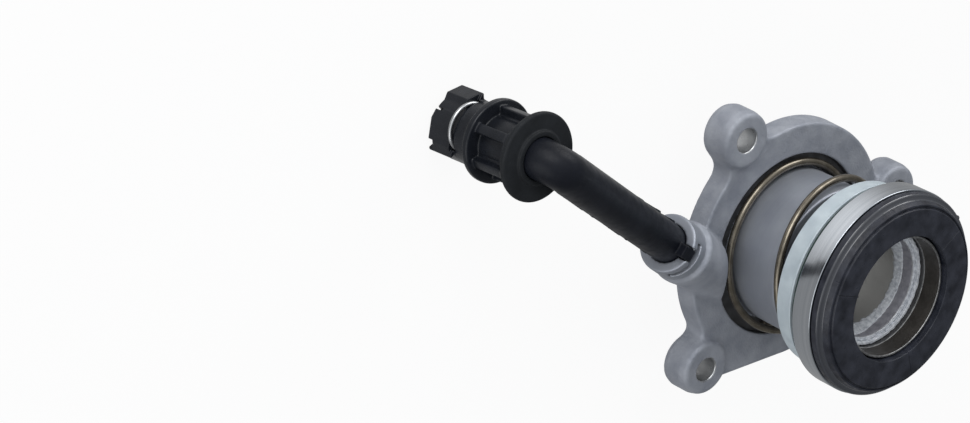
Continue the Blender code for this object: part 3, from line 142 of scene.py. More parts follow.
tent = bpy.data.worlds.new("tent")
bpy.context.scene.world = tent
tent.use_nodes = True
nodes, links = tent.node_tree.nodes, tent.node_tree.links
nodes.clear()
lighting = nodes.new("ShaderNodeBackground")
lighting.inputs["Color"].default_value = TENT_TINT
lighting.inputs["Strength"].default_value = TENT_LIGHT
white = nodes.new("ShaderNodeBackground")
white.inputs["Color"].default_value = PURE_WHITE
white.inputs["Strength"].default_value = 1.0
mirrored = nodes.new("ShaderNodeBackground")
mirrored.inputs["Color"].default_value = MIRROR_TINT
towards = nodes.new("ShaderNodeVectorMath")
towards.operation = "DOT_PRODUCT"
towards.inputs[1].default_value = LIT_SIDE.normalized()
links.new(nodes.new("ShaderNodeTexCoord").outputs["Generated"], towards.inputs[0])
strength = graded(nodes, links, towards.outputs["Value"], start=-0.55, end=0.95, levels=TENT_MIRRORED)
links.new(strength, mirrored.inputs["Strength"])
seen, glossy = seen_rays(nodes, links)
shown = chosen(nodes, links, glossy, lighting.outputs[0], mirrored.outputs[0])
shown = chosen(nodes, links, seen, shown, white.outputs[0])
links.new(shown, nodes.new("ShaderNodeOutputWorld").inputs["Surface"])

floor_level = cad_low.z - FLOOR_GAP
floor_mesh = bpy.data.meshes.new("floor")
corners = [(-FLOOR_REACH, -FLOOR_REACH), (FLOOR_REACH, -FLOOR_REACH),
           (FLOOR_REACH, FLOOR_REACH), (-FLOOR_REACH, FLOOR_REACH)]
floor_mesh.from_pydata([(x, y, floor_level) for x, y in corners], [], [(0, 1, 2, 3)])
floor = bpy.data.objects.new("floor", floor_mesh)
bpy.context.scene.collection.objects.link(floor)
floor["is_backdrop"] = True
paper = bpy.data.materials.new("floor_paper")
paper.use_nodes = True
nodes, links = paper.node_tree.nodes, paper.node_tree.links
nodes.clear()
matt = nodes.new("ShaderNodeBsdfDiffuse")
matt.inputs["Color"].default_value = FLOOR_COLOUR
bright = nodes.new("ShaderNodeEmission")
# Painted pool of light: in reflections the floor glows brighter round a spot on the key lamp's side,
# standing in for the lamp-lit floor.
painted_light_pool = nodes.new("ShaderNodeEmission")
away = nodes.new("ShaderNodeVectorMath")
away.operation = "DISTANCE"
away.inputs[1].default_value = (*LIT_FLOOR, floor_level)
links.new(nodes.new("ShaderNodeTexCoord").outputs["Object"], away.inputs[0])
strength = graded(nodes, links, away.outputs["Value"], start=0.16, end=0.02, levels=FLOOR_MIRRORED)
links.new(strength, painted_light_pool.inputs["Strength"])
seen, glossy = seen_rays(nodes, links)
share = nodes.new("ShaderNodeMath")
share.operation = "MULTIPLY"
share.inputs[1].default_value = SEEN_WHITE
links.new(seen, share.inputs[0])
shown = chosen(nodes, links, glossy, matt.outputs[0], painted_light_pool.outputs[0])
shown = chosen(nodes, links, share.outputs[0], shown, bright.outputs[0])
links.new(shown, nodes.new("ShaderNodeOutputMaterial").inputs["Surface"])
floor_mesh.materials.append(paper)


def soft_box(name, place, aim, size, power):
    """A square lamp with a cloth front, turned towards the part."""
    lamp = bpy.data.objects.new(name, bpy.data.lights.new(name, "AREA"))
    bpy.context.scene.collection.objects.link(lamp)
    lamp.data.size = size
    lamp.data.energy = power
    lamp.location = place
    lamp.rotation_euler = (Vector(aim) - Vector(place)).to_track_quat("-Z", "Y").to_euler()


soft_box("key_lamp", (0.62, -0.30, 0.34), LAMP_AIM, size=0.45, power=2.1)
soft_box("side_lamp", (0.05, -0.75, 0.16), LAMP_AIM, size=0.45, power=2.1)
soft_box("fill_lamp", (0.50, 0.62, 0.22), LAMP_AIM, size=0.60, power=1.5)


# Cast housing of the cylinder: one aluminium pressure casting, shot-blasted, with the flange, three
# screw lugs, the cylinder tube and the hose boss on it. Faces, bores and the boss are then machined.
RIM_RADIUS = 42.2
RIM_SHIFT = 1.1
RIM_TURN = math.radians(-80.0)
RIM_CENTRE = (RIM_SHIFT * math.cos(RIM_TURN), RIM_SHIFT * math.sin(RIM_TURN))
RELIEF_RADIUS = 37.7
RELIEF_SPAN = (155.5, 227.7)
LEDGE_RADIUS = 41.7
LEDGE_SPAN = (120.0, 154.5)
SHOULDER_RADIUS = 43.6
SHOULDER_SPAN = (33.0, 100.0)
FLANK_TURNS = (math.radians(174.0), math.radians(126.0))
FLANGE_TOP = 8.2
FLANGE_DRAFT = 0.04
DRAFT_LEVEL = 4.0
# Each lug: its direction in degrees, its distance from the axis, and the fillets on its two sides.
LUG_PLACES = [(-132.3, 49.2, 4.5, 3.0), (-22.0, 51.3, 7.5, 8.0), (81.0, 51.6, 5.5, 0.01)]
LUG_RADIUS = 9.6
LUG_INSET = 0.45
PAD_RADIUS = 9.5
PAD_SHIFT = 0.45
PAD_TOP = 11.0
PAD_FOOT = 2.0
SCREW_HOLE = 4.1
SPIGOT_RADIUS = 37.4
SPIGOT_DEPTH = 2.9
FOOT_GROOVE = 37.6
RECESS_RADIUS = 32.5
RECESS_FLOOR = 5.5
TUBE_RADIUS = 26.9
TUBE_TOP = 29.2
CYLINDER_BORE = 23.7
CYLINDER_FLOOR = 1.2
SLEEVE_BORE = 19.1
WIPER_BORE = 25.6
WIPER_LEVEL = 26.4
DISC_SEAT = 32.6
SEAL_GROOVE = 28.5
BOSS_MOUTH = Vector((55.75, 22.5, 10.5))
BOSS_RISE = math.radians(11.3)
BARREL_RADIUS = 9.9
BARREL_DEPTH = 12.0
ROOT_RADIUS = 10.8
ROOT_ASIDE = 0.5
ROOT_RAISED = 0.6
ROOT_TAPER = 0.08
ROOT_START = 9.0
ROOT_MIDDLE = 26.0
ROOT_HALF = 17.3
BOSS_END = 32.9
BOSS_END_SLOPE = 0.22
PIPE_POCKET = 6.6
POCKET_DEPTH = 15.6
KEY_NOTCH = 2.4
KEY_NOTCH_DEPTH = 3.1
CLIP_GROOVE = 7.5
CLIP_DEPTH = 3.7
CLIP_SLOT = 1.2
CLIP_WINDOWS = ((-78.0, -9.0), (26.0, 119.0), (215.0, 245.0))
HOUSING_GRAIN = 0.36
CAST, MILLED, BRIGHT, PAINTED_SHADE = range(4)


def lug_point(lug):
    """The centre of a lug's screw hole, seen along the axis."""
    angle = math.radians(lug[0])
    return lug[1] * math.cos(angle), lug[1] * math.sin(angle)


def merged(one, other, fillet):
    """Two forms as one, with a hollow fillet where they meet."""
    near = np.hypot(np.maximum(fillet - one, 0), np.maximum(fillet - other, 0))
    return np.maximum(fillet, np.minimum(one, other)) - near


def trimmed(one, other, edge):
    """What two forms share, with its edge rounded over."""
    near = np.hypot(np.maximum(edge + one, 0), np.maximum(edge + other, 0))
    return np.minimum(-edge, np.maximum(one, other)) + near


def wedge(x, y, start, end):
    """The sector between two directions less than half a turn apart, in degrees."""
    start, end = math.radians(start), math.radians(end)
    after_start = x * math.sin(start) - y * math.cos(start)
    before_end = y * math.cos(end) - x * math.sin(end)
    return np.maximum(after_start, before_end)


def polygon(x, y, points):
    """Signed distance to a straight-sided outline in a plane."""
    nearest = np.full(np.broadcast(x, y).shape, 1e9, np.float32)
    inside = np.zeros(nearest.shape, bool)
    for (ax, ay), (bx, by) in zip(points, points[1:] + points[:1]):
        along = ((x - ax) * (bx - ax) + (y - ay) * (by - ay)) / ((bx - ax) ** 2 + (by - ay) ** 2)
        along = np.clip(along, 0, 1)
        nearest = np.minimum(nearest, np.hypot(x - ax - along * (bx - ax), y - ay - along * (by - ay)))
        if ay != by:
            crossed = (ay > y) != (by > y)
            inside ^= crossed & (x < (bx - ax) * (y - ay) / (by - ay) + ax)
    return np.where(inside, -nearest, nearest)


def moulded(name, low, high, step, form):
    """A closed mesh in metres of the surface that a form, a signed distance, has in a block of space."""
    axes = [np.arange(start, end, step, dtype=np.float32) for start, end in zip(low, high)]
    grid = [axis.reshape([-1 if place == index else 1 for place in range(3)])
            for index, axis in enumerate(axes)]
    depth = np.ascontiguousarray(np.broadcast_to(form(*grid), [len(axis) for axis in axes]), np.float32)
    volume = openvdb.FloatGrid(background=1.0)
    band = 3 * step
    volume.copyFromArray(np.clip(depth, -band, band))
    points, quads = volume.convertToQuads(isovalue=0.0)
    points = settled_on(points.astype(np.float64), depth)
    mesh = bpy.data.meshes.new(name)
    mesh.vertices.add(len(points))
    mesh.vertices.foreach_set("co", ((points * step + np.array(low)) * MM).astype(np.float32).ravel())
    mesh.loops.add(4 * len(quads))
    mesh.loops.foreach_set("vertex_index", quads[:, ::-1].astype(np.int32).ravel())
    mesh.polygons.add(len(quads))
    mesh.polygons.foreach_set("loop_start", np.arange(0, 4 * len(quads), 4, dtype=np.int32))
    mesh.update(calc_edges=True)
    mesh.validate()
    mesh.shade_smooth()
    return mesh


def settled_on(points, depth):
    """Grid points moved along the form's slope until they lie on its surface."""
    passes, longest_move, least_slope = 3, 0.3, 1e-6
    for _ in range(passes):
        cell = np.clip(np.floor(points).astype(int), 0, np.array(depth.shape) - 2)
        part = points - cell
        value = np.zeros(len(points))
        slope = np.zeros((len(points), 3))
        for corner in np.ndindex(2, 2, 2):
            corner = np.array(corner)
            at = depth[tuple((cell + corner).T)]
            side = np.where(corner == 1, part, 1 - part)
            value += at * side.prod(axis=1)
            for axis in range(3):
                others = np.delete(side, axis, axis=1).prod(axis=1)
                slope[:, axis] += at * others * (1 if corner[axis] else -1)
        length = np.maximum((slope ** 2).sum(axis=1), least_slope)
        move = slope * (value / length)[:, None]
        points = points - np.clip(move, -longest_move, longest_move)
    return points


def flange_plan(x, y):
    """The flange seen along the axis: round rim, side shoulder, three lugs and a straight flank."""
    radius = np.hypot(x, y)
    rim = np.hypot(x - RIM_CENTRE[0], y - RIM_CENTRE[1]) - RIM_RADIUS
    relief = np.maximum(wedge(x, y, *RELIEF_SPAN), RELIEF_RADIUS - radius)
    rim = np.maximum(rim, -relief)
    rim = np.minimum(rim, np.maximum(radius - LEDGE_RADIUS, wedge(x, y, *LEDGE_SPAN)))
    shoulder = np.maximum(radius - SHOULDER_RADIUS, wedge(x, y, *SHOULDER_SPAN))
    top_x, top_y = lug_point(LUG_PLACES[2])
    at_lug, at_rim = FLANK_TURNS
    flank = [(0.0, 0.0), (top_x, top_y),
             (top_x + LUG_RADIUS * math.cos(at_lug), top_y + LUG_RADIUS * math.sin(at_lug)),
             (LEDGE_RADIUS * math.cos(at_rim), LEDGE_RADIUS * math.sin(at_rim))]
    plan = np.minimum(np.minimum(rim, shoulder), polygon(x, y, flank))
    for lug in LUG_PLACES:
        lug_x, lug_y = lug_point(lug)
        past = lug_x * y - lug_y * x > 0
        blend = np.where(past, lug[3], lug[2])
        plan = merged(plan, np.hypot(x - lug_x, y - lug_y) - LUG_RADIUS + LUG_INSET, blend)
    return plan


def on_boss(x, y, z):
    """Depth below the boss's mouth, distance from its axis, side and height across it."""
    rise_x, rise_z = math.cos(BOSS_RISE), math.sin(BOSS_RISE)
    along, across, up = x - BOSS_MOUTH.x, y - BOSS_MOUTH.y, z - BOSS_MOUTH.z
    depth = -(along * rise_x + up * rise_z)
    height = up * rise_x - along * rise_z
    return depth, np.hypot(across, height), across, height


def housing_form(x, y, z):
    """The casting with its machined bores, faces, slots and holes."""
    radius = np.hypot(x, y)
    body = trimmed(flange_plan(x, y) + FLANGE_DRAFT * (z - DRAFT_LEVEL), z - FLANGE_TOP, edge=0.8)
    for lug in LUG_PLACES:
        lug_x, lug_y = lug_point(lug)
        inward = 1 - PAD_SHIFT / lug[1]
        pad_reach = np.hypot(x - lug_x * inward, y - lug_y * inward)
        pad = trimmed(pad_reach - PAD_RADIUS, z - PAD_TOP, edge=1.7)
        body = merged(body, np.maximum(pad, PAD_FOOT - z), fillet=1.8)
    depth, reach, across, height = on_boss(x, y, z)
    barrel = trimmed(np.maximum(reach - BARREL_RADIUS, depth - BARREL_DEPTH), -depth, edge=0.6)
    root_reach = np.hypot(across + ROOT_ASIDE, height - ROOT_RAISED) - ROOT_RADIUS
    root_reach = root_reach + ROOT_TAPER * (depth - ROOT_START)
    root = trimmed(root_reach, np.abs(depth - ROOT_MIDDLE) - ROOT_HALF, edge=1.7)
    boss = merged(barrel, root, fillet=0.8)
    boss_end = BOSS_END + BOSS_END_SLOPE * np.maximum(z - FLANGE_TOP, 0) - radius
    body = merged(body, np.maximum(boss, boss_end), fillet=1.2)
    body = np.maximum(body, -z)
    recess = np.maximum(radius - RECESS_RADIUS, RECESS_FLOOR - z)
    body = trimmed(body, -recess, edge=0.35)
    tube = trimmed(radius - TUBE_RADIUS, z - TUBE_TOP, edge=0.8)
    body = merged(body, np.maximum(tube, -z), fillet=0.7)
    spigot = trimmed(radius - SPIGOT_RADIUS, -SPIGOT_DEPTH - z, edge=1.5)
    foot_groove = np.hypot(radius - FOOT_GROOVE, z + 0.1) - 0.35
    body = np.minimum(body, np.maximum(spigot, z - 3.0))
    body = np.maximum(body, -foot_groove)
    bore = np.minimum(np.maximum(radius - CYLINDER_BORE, CYLINDER_FLOOR - z), radius - SLEEVE_BORE)
    bore = np.minimum(bore, np.maximum(radius - WIPER_BORE, np.abs(z - WIPER_LEVEL) - 1.3))
    bore = np.minimum(bore, np.maximum(radius - DISC_SEAT, z + 0.6))
    bore = np.minimum(bore, np.maximum(np.abs(radius - SEAL_GROOVE) - 1.2, np.abs(z - 0.1) - 0.9))
    body = trimmed(body, -bore, edge=0.25)
    for lug in LUG_PLACES:
        lug_x, lug_y = lug_point(lug)
        chamfer = np.clip(z - PAD_TOP + 0.35, 0, 2) + np.clip(0.5 - z, 0, 2)
        body = np.maximum(body, SCREW_HOLE + chamfer - np.hypot(x - lug_x, y - lug_y))
    pocket = np.maximum(reach - PIPE_POCKET - np.clip(0.15 - depth, 0, 2), depth - POCKET_DEPTH)
    key_notch = np.maximum(np.maximum(np.abs(across) - KEY_NOTCH, depth - KEY_NOTCH_DEPTH), -height)
    clip_level = np.abs(depth - CLIP_DEPTH) - CLIP_SLOT
    groove = np.maximum(np.abs(reach - CLIP_GROOVE) - 1.3, clip_level)
    cut = np.minimum(np.minimum(pocket, key_notch), groove)
    turn = np.degrees(np.arctan2(height, across))
    for start, end in CLIP_WINDOWS:
        middle, half = (start + end) / 2, (end - start) / 2
        off = np.abs((turn - middle + 180.0) % 360.0 - 180.0) - half
        window = np.maximum(np.radians(off) * reach, clip_level)
        cut = np.minimum(cut, np.maximum(window, 6.5 - reach))
    return np.maximum(body, -cut)


def soil(material, place, size, colours, detail=4.0):
    """Colour that drifts between two tones in patches of a size, in millimetres."""
    nodes, links = material.node_tree.nodes, material.node_tree.links
    cloud = nodes.new("ShaderNodeTexNoise")
    cloud.inputs["Scale"].default_value = 1000.0 / size
    cloud.inputs["Detail"].default_value = detail
    links.new(place, cloud.inputs["Vector"])
    ramp = nodes.new("ShaderNodeValToRGB")
    ramp.color_ramp.elements[0].position = 0.32
    ramp.color_ramp.elements[1].position = 0.68
    ramp.color_ramp.elements[0].color = (*colours[0], 1.0)
    ramp.color_ramp.elements[1].color = (*colours[1], 1.0)
    links.new(cloud.outputs["Fac"], ramp.inputs["Fac"])
    links.new(ramp.outputs["Color"], nodes["Principled BSDF"].inputs["Base Color"])


def drift(material, place, size, low, high):
    """Roughness that drifts between two values in patches of a size, in millimetres."""
    nodes, links = material.node_tree.nodes, material.node_tree.links
    cloud = nodes.new("ShaderNodeTexNoise")
    cloud.inputs["Scale"].default_value = 1000.0 / size
    cloud.inputs["Detail"].default_value = 3.0
    links.new(place, cloud.inputs["Vector"])
    span = nodes.new("ShaderNodeMapRange")
    span.inputs["From Min"].default_value = 0.3
    span.inputs["From Max"].default_value = 0.7
    span.inputs["To Min"].default_value = low
    span.inputs["To Max"].default_value = high
    links.new(cloud.outputs["Fac"], span.inputs["Value"])
    links.new(span.outputs["Result"], nodes["Principled BSDF"].inputs["Roughness"])


def texture(material, place, size, depth, detail=2.0):
    """A fine relief of a grain size and a depth, in millimetres, over any relief that is there."""
    nodes, links = material.node_tree.nodes, material.node_tree.links
    shader = nodes["Principled BSDF"]
    grain = nodes.new("ShaderNodeTexNoise")
    grain.inputs["Scale"].default_value = 1000.0 / size
    grain.inputs["Detail"].default_value = detail
    links.new(place, grain.inputs["Vector"])
    relief = nodes.new("ShaderNodeBump")
    relief.inputs["Strength"].default_value = 1.0
    relief.inputs["Distance"].default_value = depth * MM
    links.new(grain.outputs["Fac"], relief.inputs["Height"])
    if shader.inputs["Normal"].is_linked:
        links.new(shader.inputs["Normal"].links[0].from_socket, relief.inputs["Normal"])
    links.new(relief.outputs["Normal"], shader.inputs["Normal"])


def finish(name, metallic, specular=0.5):
    """An empty finish, and the place on the piece that its patterns are laid out by."""
    material = bpy.data.materials.new(name)
    material.use_nodes = True
    shader = material.node_tree.nodes["Principled BSDF"]
    shader.inputs["Metallic"].default_value = metallic
    shader.inputs["Specular IOR Level"].default_value = specular
    return material, material.node_tree.nodes.new("ShaderNodeTexCoord").outputs["Object"]


def lathe_place(material, place):
    """Places by distance from the axis and height alone, so that a pattern runs round in rings."""
    nodes, links = material.node_tree.nodes, material.node_tree.links
    split = nodes.new("ShaderNodeSeparateXYZ")
    links.new(place, split.inputs[0])
    level = nodes.new("ShaderNodeCombineXYZ")
    links.new(split.outputs["X"], level.inputs["X"])
    links.new(split.outputs["Y"], level.inputs["Y"])
    length = nodes.new("ShaderNodeVectorMath")
    length.operation = "LENGTH"
    links.new(level.outputs[0], length.inputs[0])
    rings = nodes.new("ShaderNodeCombineXYZ")
    links.new(length.outputs["Value"], rings.inputs["X"])
    links.new(split.outputs["Z"], rings.inputs["Z"])
    return rings.outputs[0]


def face_centres(mesh):
    """The middle of each face, in millimetres, as a row each of x, y and z."""
    centres = np.empty(3 * len(mesh.polygons), np.float32)
    mesh.polygons.foreach_get("center", centres)
    return centres.reshape(-1, 3).T / MM


def piece(name, mesh, body, nodes, slot, *materials):
    """A piece of the object with its finish, on its body, in place of its CAD solid."""
    made = bpy.data.objects.new(name, mesh)
    bpy.context.scene.collection.objects.link(made)
    for material in materials:
        mesh.materials.append(material)
    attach(made, body)
    if nodes:
        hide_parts(*nodes)
    return made


cast, place = finish("blasted_aluminium", metallic=0.55)
soil(cast, place, size=7.0, colours=((0.265, 0.283, 0.325), (0.365, 0.383, 0.425)), detail=8.0)
drift(cast, place, size=3.0, low=0.60, high=0.74)
texture(cast, place, size=2.0, depth=0.10)
texture(cast, place, size=0.8, depth=0.13)
milled, place = finish("machined_aluminium", metallic=0.75)
rings = lathe_place(milled, place)
soil(milled, place, size=12.0, colours=((0.30, 0.32, 0.365), (0.36, 0.38, 0.42)))
drift(milled, rings, size=0.5, low=0.46, high=0.58)
texture(milled, rings, size=0.25, depth=0.006)
bright_cut, place = finish("freshly_cut_aluminium", metallic=0.9)
soil(bright_cut, place, size=4.0, colours=((0.40, 0.41, 0.42), (0.52, 0.53, 0.54)))
drift(bright_cut, place, size=1.5, low=0.26, high=0.36)
texture(bright_cut, place, size=0.5, depth=0.006)
# Painted shade: a near-black finish laid where shade falls, in the spring recess, the clip groove and low
# in the inner ring's bore.
painted_shade_recess, place = finish("painted_shade_dark_recess", metallic=0.3)
soil(painted_shade_recess, place, size=4.0, colours=((0.050, 0.050, 0.052), (0.095, 0.096, 0.100)))
drift(painted_shade_recess, place, size=2.0, low=0.40, high=0.60)
texture(painted_shade_recess, place, size=0.8, depth=0.03)

housing_mesh = moulded("cast_housing", low=(-46.0, -48.5, -4.0), high=(57.5, 62.5, 30.4),
                       step=HOUSING_GRAIN, form=housing_form)
x, y, z = face_centres(housing_mesh)
radius = np.hypot(x, y)
depth, reach, across, height = on_boss(x, y, z)
kinds = np.full(len(x), CAST, np.int32)
kinds[(radius < 32.8) & (z > 5.0)] = MILLED
kinds[z < 0.05] = MILLED
# Painted shade on the spring recess's floor and lower wall.
kinds[(radius > 27.5) & (radius < 32.65) & (z > 5.0) & (z < 7.8)] = PAINTED_SHADE
kinds[(depth < 8.0) & (reach < 10.2)] = MILLED
# Painted shade in the clip groove behind the wire.
kinds[(np.abs(depth - 3.6) < CLIP_SLOT) & (reach > 6.7) & (reach < 9.6)] = PAINTED_SHADE
for lug in LUG_PLACES:
    lug_x, lug_y = lug_point(lug)
    kinds[np.hypot(x - lug_x, y - lug_y) < SCREW_HOLE + 0.45] = BRIGHT
housing_mesh.polygons.foreach_set("material_index", kinds)
piece("cast_housing", housing_mesh, "cylinder", ["housing"], "cast_aluminium",
      cast, milled, bright_cut, painted_shade_recess)


# Guide sleeve: a steel tube with a wide disc, turned in one piece and pressed into the housing from
# the gearbox side. The piston slides on its outside, and its mouth is smeared with grey grease.
RING_STEPS = 256
CORNER_STEPS = 5
SHARP_EDGE = math.radians(32.0)
GREASE_STEPS = 400
GREASE_POINTS = 16
WIPED_SIDE = math.radians(100.0)


def rounded(outline):
    """The points of an outline whose corners, given a third number, are rounded to that radius."""
    points = []
    for index, corner in enumerate(outline):
        here = Vector(corner[:2])
        if len(corner) < 3:
            points.append(here)
            continue
        before = (Vector(outline[index - 1][:2]) - here).normalized()
        after = (Vector(outline[(index + 1) % len(outline)][:2]) - here).normalized()
        half = before.angle(after) / 2
        centre = here + (before + after).normalized() * (corner[2] / math.sin(half))
        first = here + before * (corner[2] / math.tan(half)) - centre
        last = here + after * (corner[2] / math.tan(half)) - centre
        for step in range(CORNER_STEPS + 1):
            points.append(centre + first.slerp(last, step / CORNER_STEPS).normalized() * corner[2])
    return points


def skin(sections, size, joined=True):
    """Faces between sections of so many points each, round to the first one where they are joined."""
    faces = []
    for step in range(sections if joined else sections - 1):
        near, far = step * size, (step + 1) % sections * size
        for index in range(size):
            after = (index + 1) % size
            faces.append((near + index, near + after, far + after, far + index))
    return faces


def turned(name, outline, angles=None):
    """A ring turned about the axis from an outline of (radius, height) points round its section."""
    if angles is None:
        angles = [360.0 * step / RING_STEPS for step in range(RING_STEPS)]
    section = rounded(outline)
    area = sum(a.x * b.y - b.x * a.y for a, b in zip(section, section[1:] + section[:1]))
    if area < 0:
        section.reverse()
    points = []
    for angle in angles:
        turn = math.radians(angle)
        points += [(p.x * math.cos(turn) * MM, p.x * math.sin(turn) * MM, p.y * MM) for p in section]
    mesh = bpy.data.meshes.new(name)
    mesh.from_pydata(points, [], [face[::-1] for face in skin(len(angles), len(section))])
    mesh.shade_smooth()
    mesh.set_sharp_from_angle(angle=SHARP_EDGE)
    return mesh


turned_steel, place = finish("turned_steel", metallic=0.9)
rings = lathe_place(turned_steel, place)
soil(turned_steel, place, size=14.0, colours=((0.34, 0.35, 0.375), (0.42, 0.43, 0.455)))
drift(turned_steel, rings, size=0.35, low=0.28, high=0.42)
texture(turned_steel, rings, size=0.3, depth=0.006)
bore_steel, place = finish("honed_steel", metallic=0.9)
rings = lathe_place(bore_steel, place)
soil(bore_steel, place, size=18.0, colours=((0.58, 0.58, 0.57), (0.66, 0.66, 0.65)))
drift(bore_steel, rings, size=0.4, low=0.3, high=0.42)
texture(bore_steel, rings, size=0.3, depth=0.005)
sleeve_mesh = turned("turned_sleeve", [
    (17.7, 48.7, 0.2), (18.8, 48.7, 0.35), (18.8, -0.9), (32.3, -0.9, 0.2), (32.3, -2.9, 0.25),
    (18.1, -2.9, 0.2), (15.8, -0.6, 0.5), (15.8, 42.4, 3.0)])
x, y, z = face_centres(sleeve_mesh)
kinds = ((np.hypot(x, y) < 17.2) & (z > -0.4)).astype(np.int32)
sleeve_mesh.polygons.foreach_set("material_index", kinds)
piece("turned_sleeve", sleeve_mesh, "cylinder", ["guide_sleeve"], "turned_steel", turned_steel, bore_steel)


def grease_coat(name, path, ragged, thickness, spread=0.0):
    """A thin lumpy coat on a turned surface, along a path of (radius, height), with ragged ends."""
    lengths = [0.0]
    for (ax, ay), (bx, by) in zip(path, path[1:]):
        lengths.append(lengths[-1] + math.hypot(bx - ax, by - ay))
    vertices = []
    for step in range(GREASE_STEPS):
        turn = 2 * math.pi * step / GREASE_STEPS
        way = Vector((math.cos(turn), math.sin(turn), 0.0))
        torn, tip = [], []
        for end in (0, 1):
            rough = noise.fractal(way * 8.0 + Vector((0, 0, 4.0 * end)), 0.6, 2.0, 4)
            torn.append(ragged[end] * rough)
            strand = noise.noise(way * 11.0 + Vector((0, 3.0, 9.0 * end)))
            tip.append(ragged[end] * max(0.0, strand - 0.35) * 4)
        start, stop = torn[0] - tip[0], lengths[-1] + torn[1] + tip[1]
        stop += spread * math.cos(turn - WIPED_SIDE) ** 6
        top, under = [], []
        for index in range(GREASE_POINTS):
            share = index / (GREASE_POINTS - 1)
            along = start + (stop - start) * share
            radius = float(np.interp(along, lengths, [p[0] for p in path]))
            height = float(np.interp(along, lengths, [p[1] for p in path]))
            part = min(len(path) - 2, max(0, sum(along > length for length in lengths) - 1))
            (ax, ay), (bx, by) = path[part], path[part + 1]
            span = lengths[part + 1] - lengths[part]
            out_r, out_z = -(by - ay) / span, (bx - ax) / span
            past = max(0.0, -along) - max(0.0, along - lengths[-1])
            radius, height = radius - past * (bx - ax) / span, height - past * (by - ay) / span
            lump = noise.noise(Vector((way.x * 18, way.y * 18, share * 4.0)))
            thick = thickness * (math.sin(math.pi * share) ** 0.5) * (0.8 + 0.5 * lump)
            first_bead = math.exp(-((share - 0.12) / 0.1) ** 2)
            last_bead = math.exp(-((share - 0.9) / 0.08) ** 2)
            thick += 0.35 * thickness * (first_bead + last_bead)
            top.append((radius + out_r * thick, height + out_z * thick))
            under.append((radius - 0.06 * out_r, height - 0.06 * out_z))
        for radius, height in top + under[::-1]:
            vertices.append((way.x * radius * MM, way.y * radius * MM, height * MM))
    mesh = bpy.data.meshes.new(name)
    mesh.from_pydata(vertices, [], skin(GREASE_STEPS, 2 * GREASE_POINTS))
    mesh.shade_smooth()
    return mesh


grease, place = finish("grey_grease", metallic=0.0)
soil(grease, place, size=1.2, colours=((0.44, 0.47, 0.52), (0.80, 0.83, 0.87)), detail=6.0)
drift(grease, place, size=1.0, low=0.35, high=0.55)
texture(grease, place, size=0.5, depth=0.08)
thin_grease, place = finish("rubbed_thin_grease", metallic=0.1)
soil(thin_grease, place, size=2.2, colours=((0.19, 0.19, 0.215), (0.30, 0.30, 0.335)))
drift(thin_grease, place, size=1.0, low=0.3, high=0.5)
texture(thin_grease, place, size=0.7, depth=0.05)
funnel_grease = grease_coat("funnel_grease", [(15.8, 42.0), (15.82, 42.7), (16.6, 45.2)],
                            ragged=(0.6, 0.10), thickness=0.2, spread=2.6)
piece("funnel_grease", funnel_grease, "cylinder", [], None, grease)
funnel_film = grease_coat("funnel_film", [(16.3, 44.2), (17.7, 48.6)], ragged=(0.1, 0.1), thickness=0.07)
piece("funnel_film", funnel_film, "cylinder", [], None, thin_grease)
sleeve_end_grease = grease_coat("sleeve_end_grease", [(17.8, 48.72), (19.0, 48.72)],
                                ragged=(0.1, 0.02), thickness=0.2)
piece("sleeve_end_grease", sleeve_end_grease, "cylinder", [], None, grease)
nose_grease = grease_coat("nose_grease", [(19.1, 48.75), (19.1, 49.9), (20.1, 49.9)],
                          ragged=(0.1, 0.25), thickness=0.2)
piece("nose_grease", nose_grease, "piston_group", [], None, grease)


# Rubber rings: the sleeve disc's seal, the piston's lipped pressure seal, the wiper at the tube's
# mouth and the bearing's front seal. All are moulded nitrile rubber, black, and sprung into grooves.
black_rubber, place = finish("black_rubber", metallic=0.0, specular=0.26)
soil(black_rubber, place, size=5.0, colours=((0.0065, 0.0080, 0.0100), (0.0120, 0.0140, 0.0170)))
drift(black_rubber, place, size=2.0, low=0.55, high=0.75)
texture(black_rubber, place, size=0.5, depth=0.012)
disc_seal = [(29.4, 0.75, 0.5), (29.4, -0.35, 0.5), (27.6, -0.35, 0.5), (27.6, 0.75, 0.5)]
pressure_seal = [(23.1, 19.5, 0.2), (23.4, 15.0, 0.1), (23.1, 15.0, 0.1), (21.25, 17.2, 0.4),
                 (19.4, 15.0, 0.1), (19.1, 15.0, 0.1), (19.4, 19.5, 0.2)]
tube_wiper = [(25.3, 27.4, 0.2), (25.3, 25.4, 0.2), (23.7, 25.4, 0.3), (23.7, 27.4, 0.5)]
front_seal = [(24.9, 54.5, 0.15), (24.9, 53.8, 0.15), (21.55, 53.8, 0.2), (21.55, 54.5, 0.25)]
piece("disc_seal_ring", turned("disc_seal_ring", disc_seal), "cylinder", ["sleeve_seal"],
      "black_rubber", black_rubber)
piece("lipped_pressure_seal", turned("lipped_pressure_seal", pressure_seal), "piston_group",
      ["pressure_seal"], "black_rubber", black_rubber)
piece("mouth_wiper", turned("mouth_wiper", tube_wiper), "cylinder", ["tube_wiper"],
      "black_rubber", black_rubber)
piece("bearing_front_seal", turned("bearing_front_seal", front_seal), "bearing_front",
      ["front_seal"], "black_rubber", black_rubber)


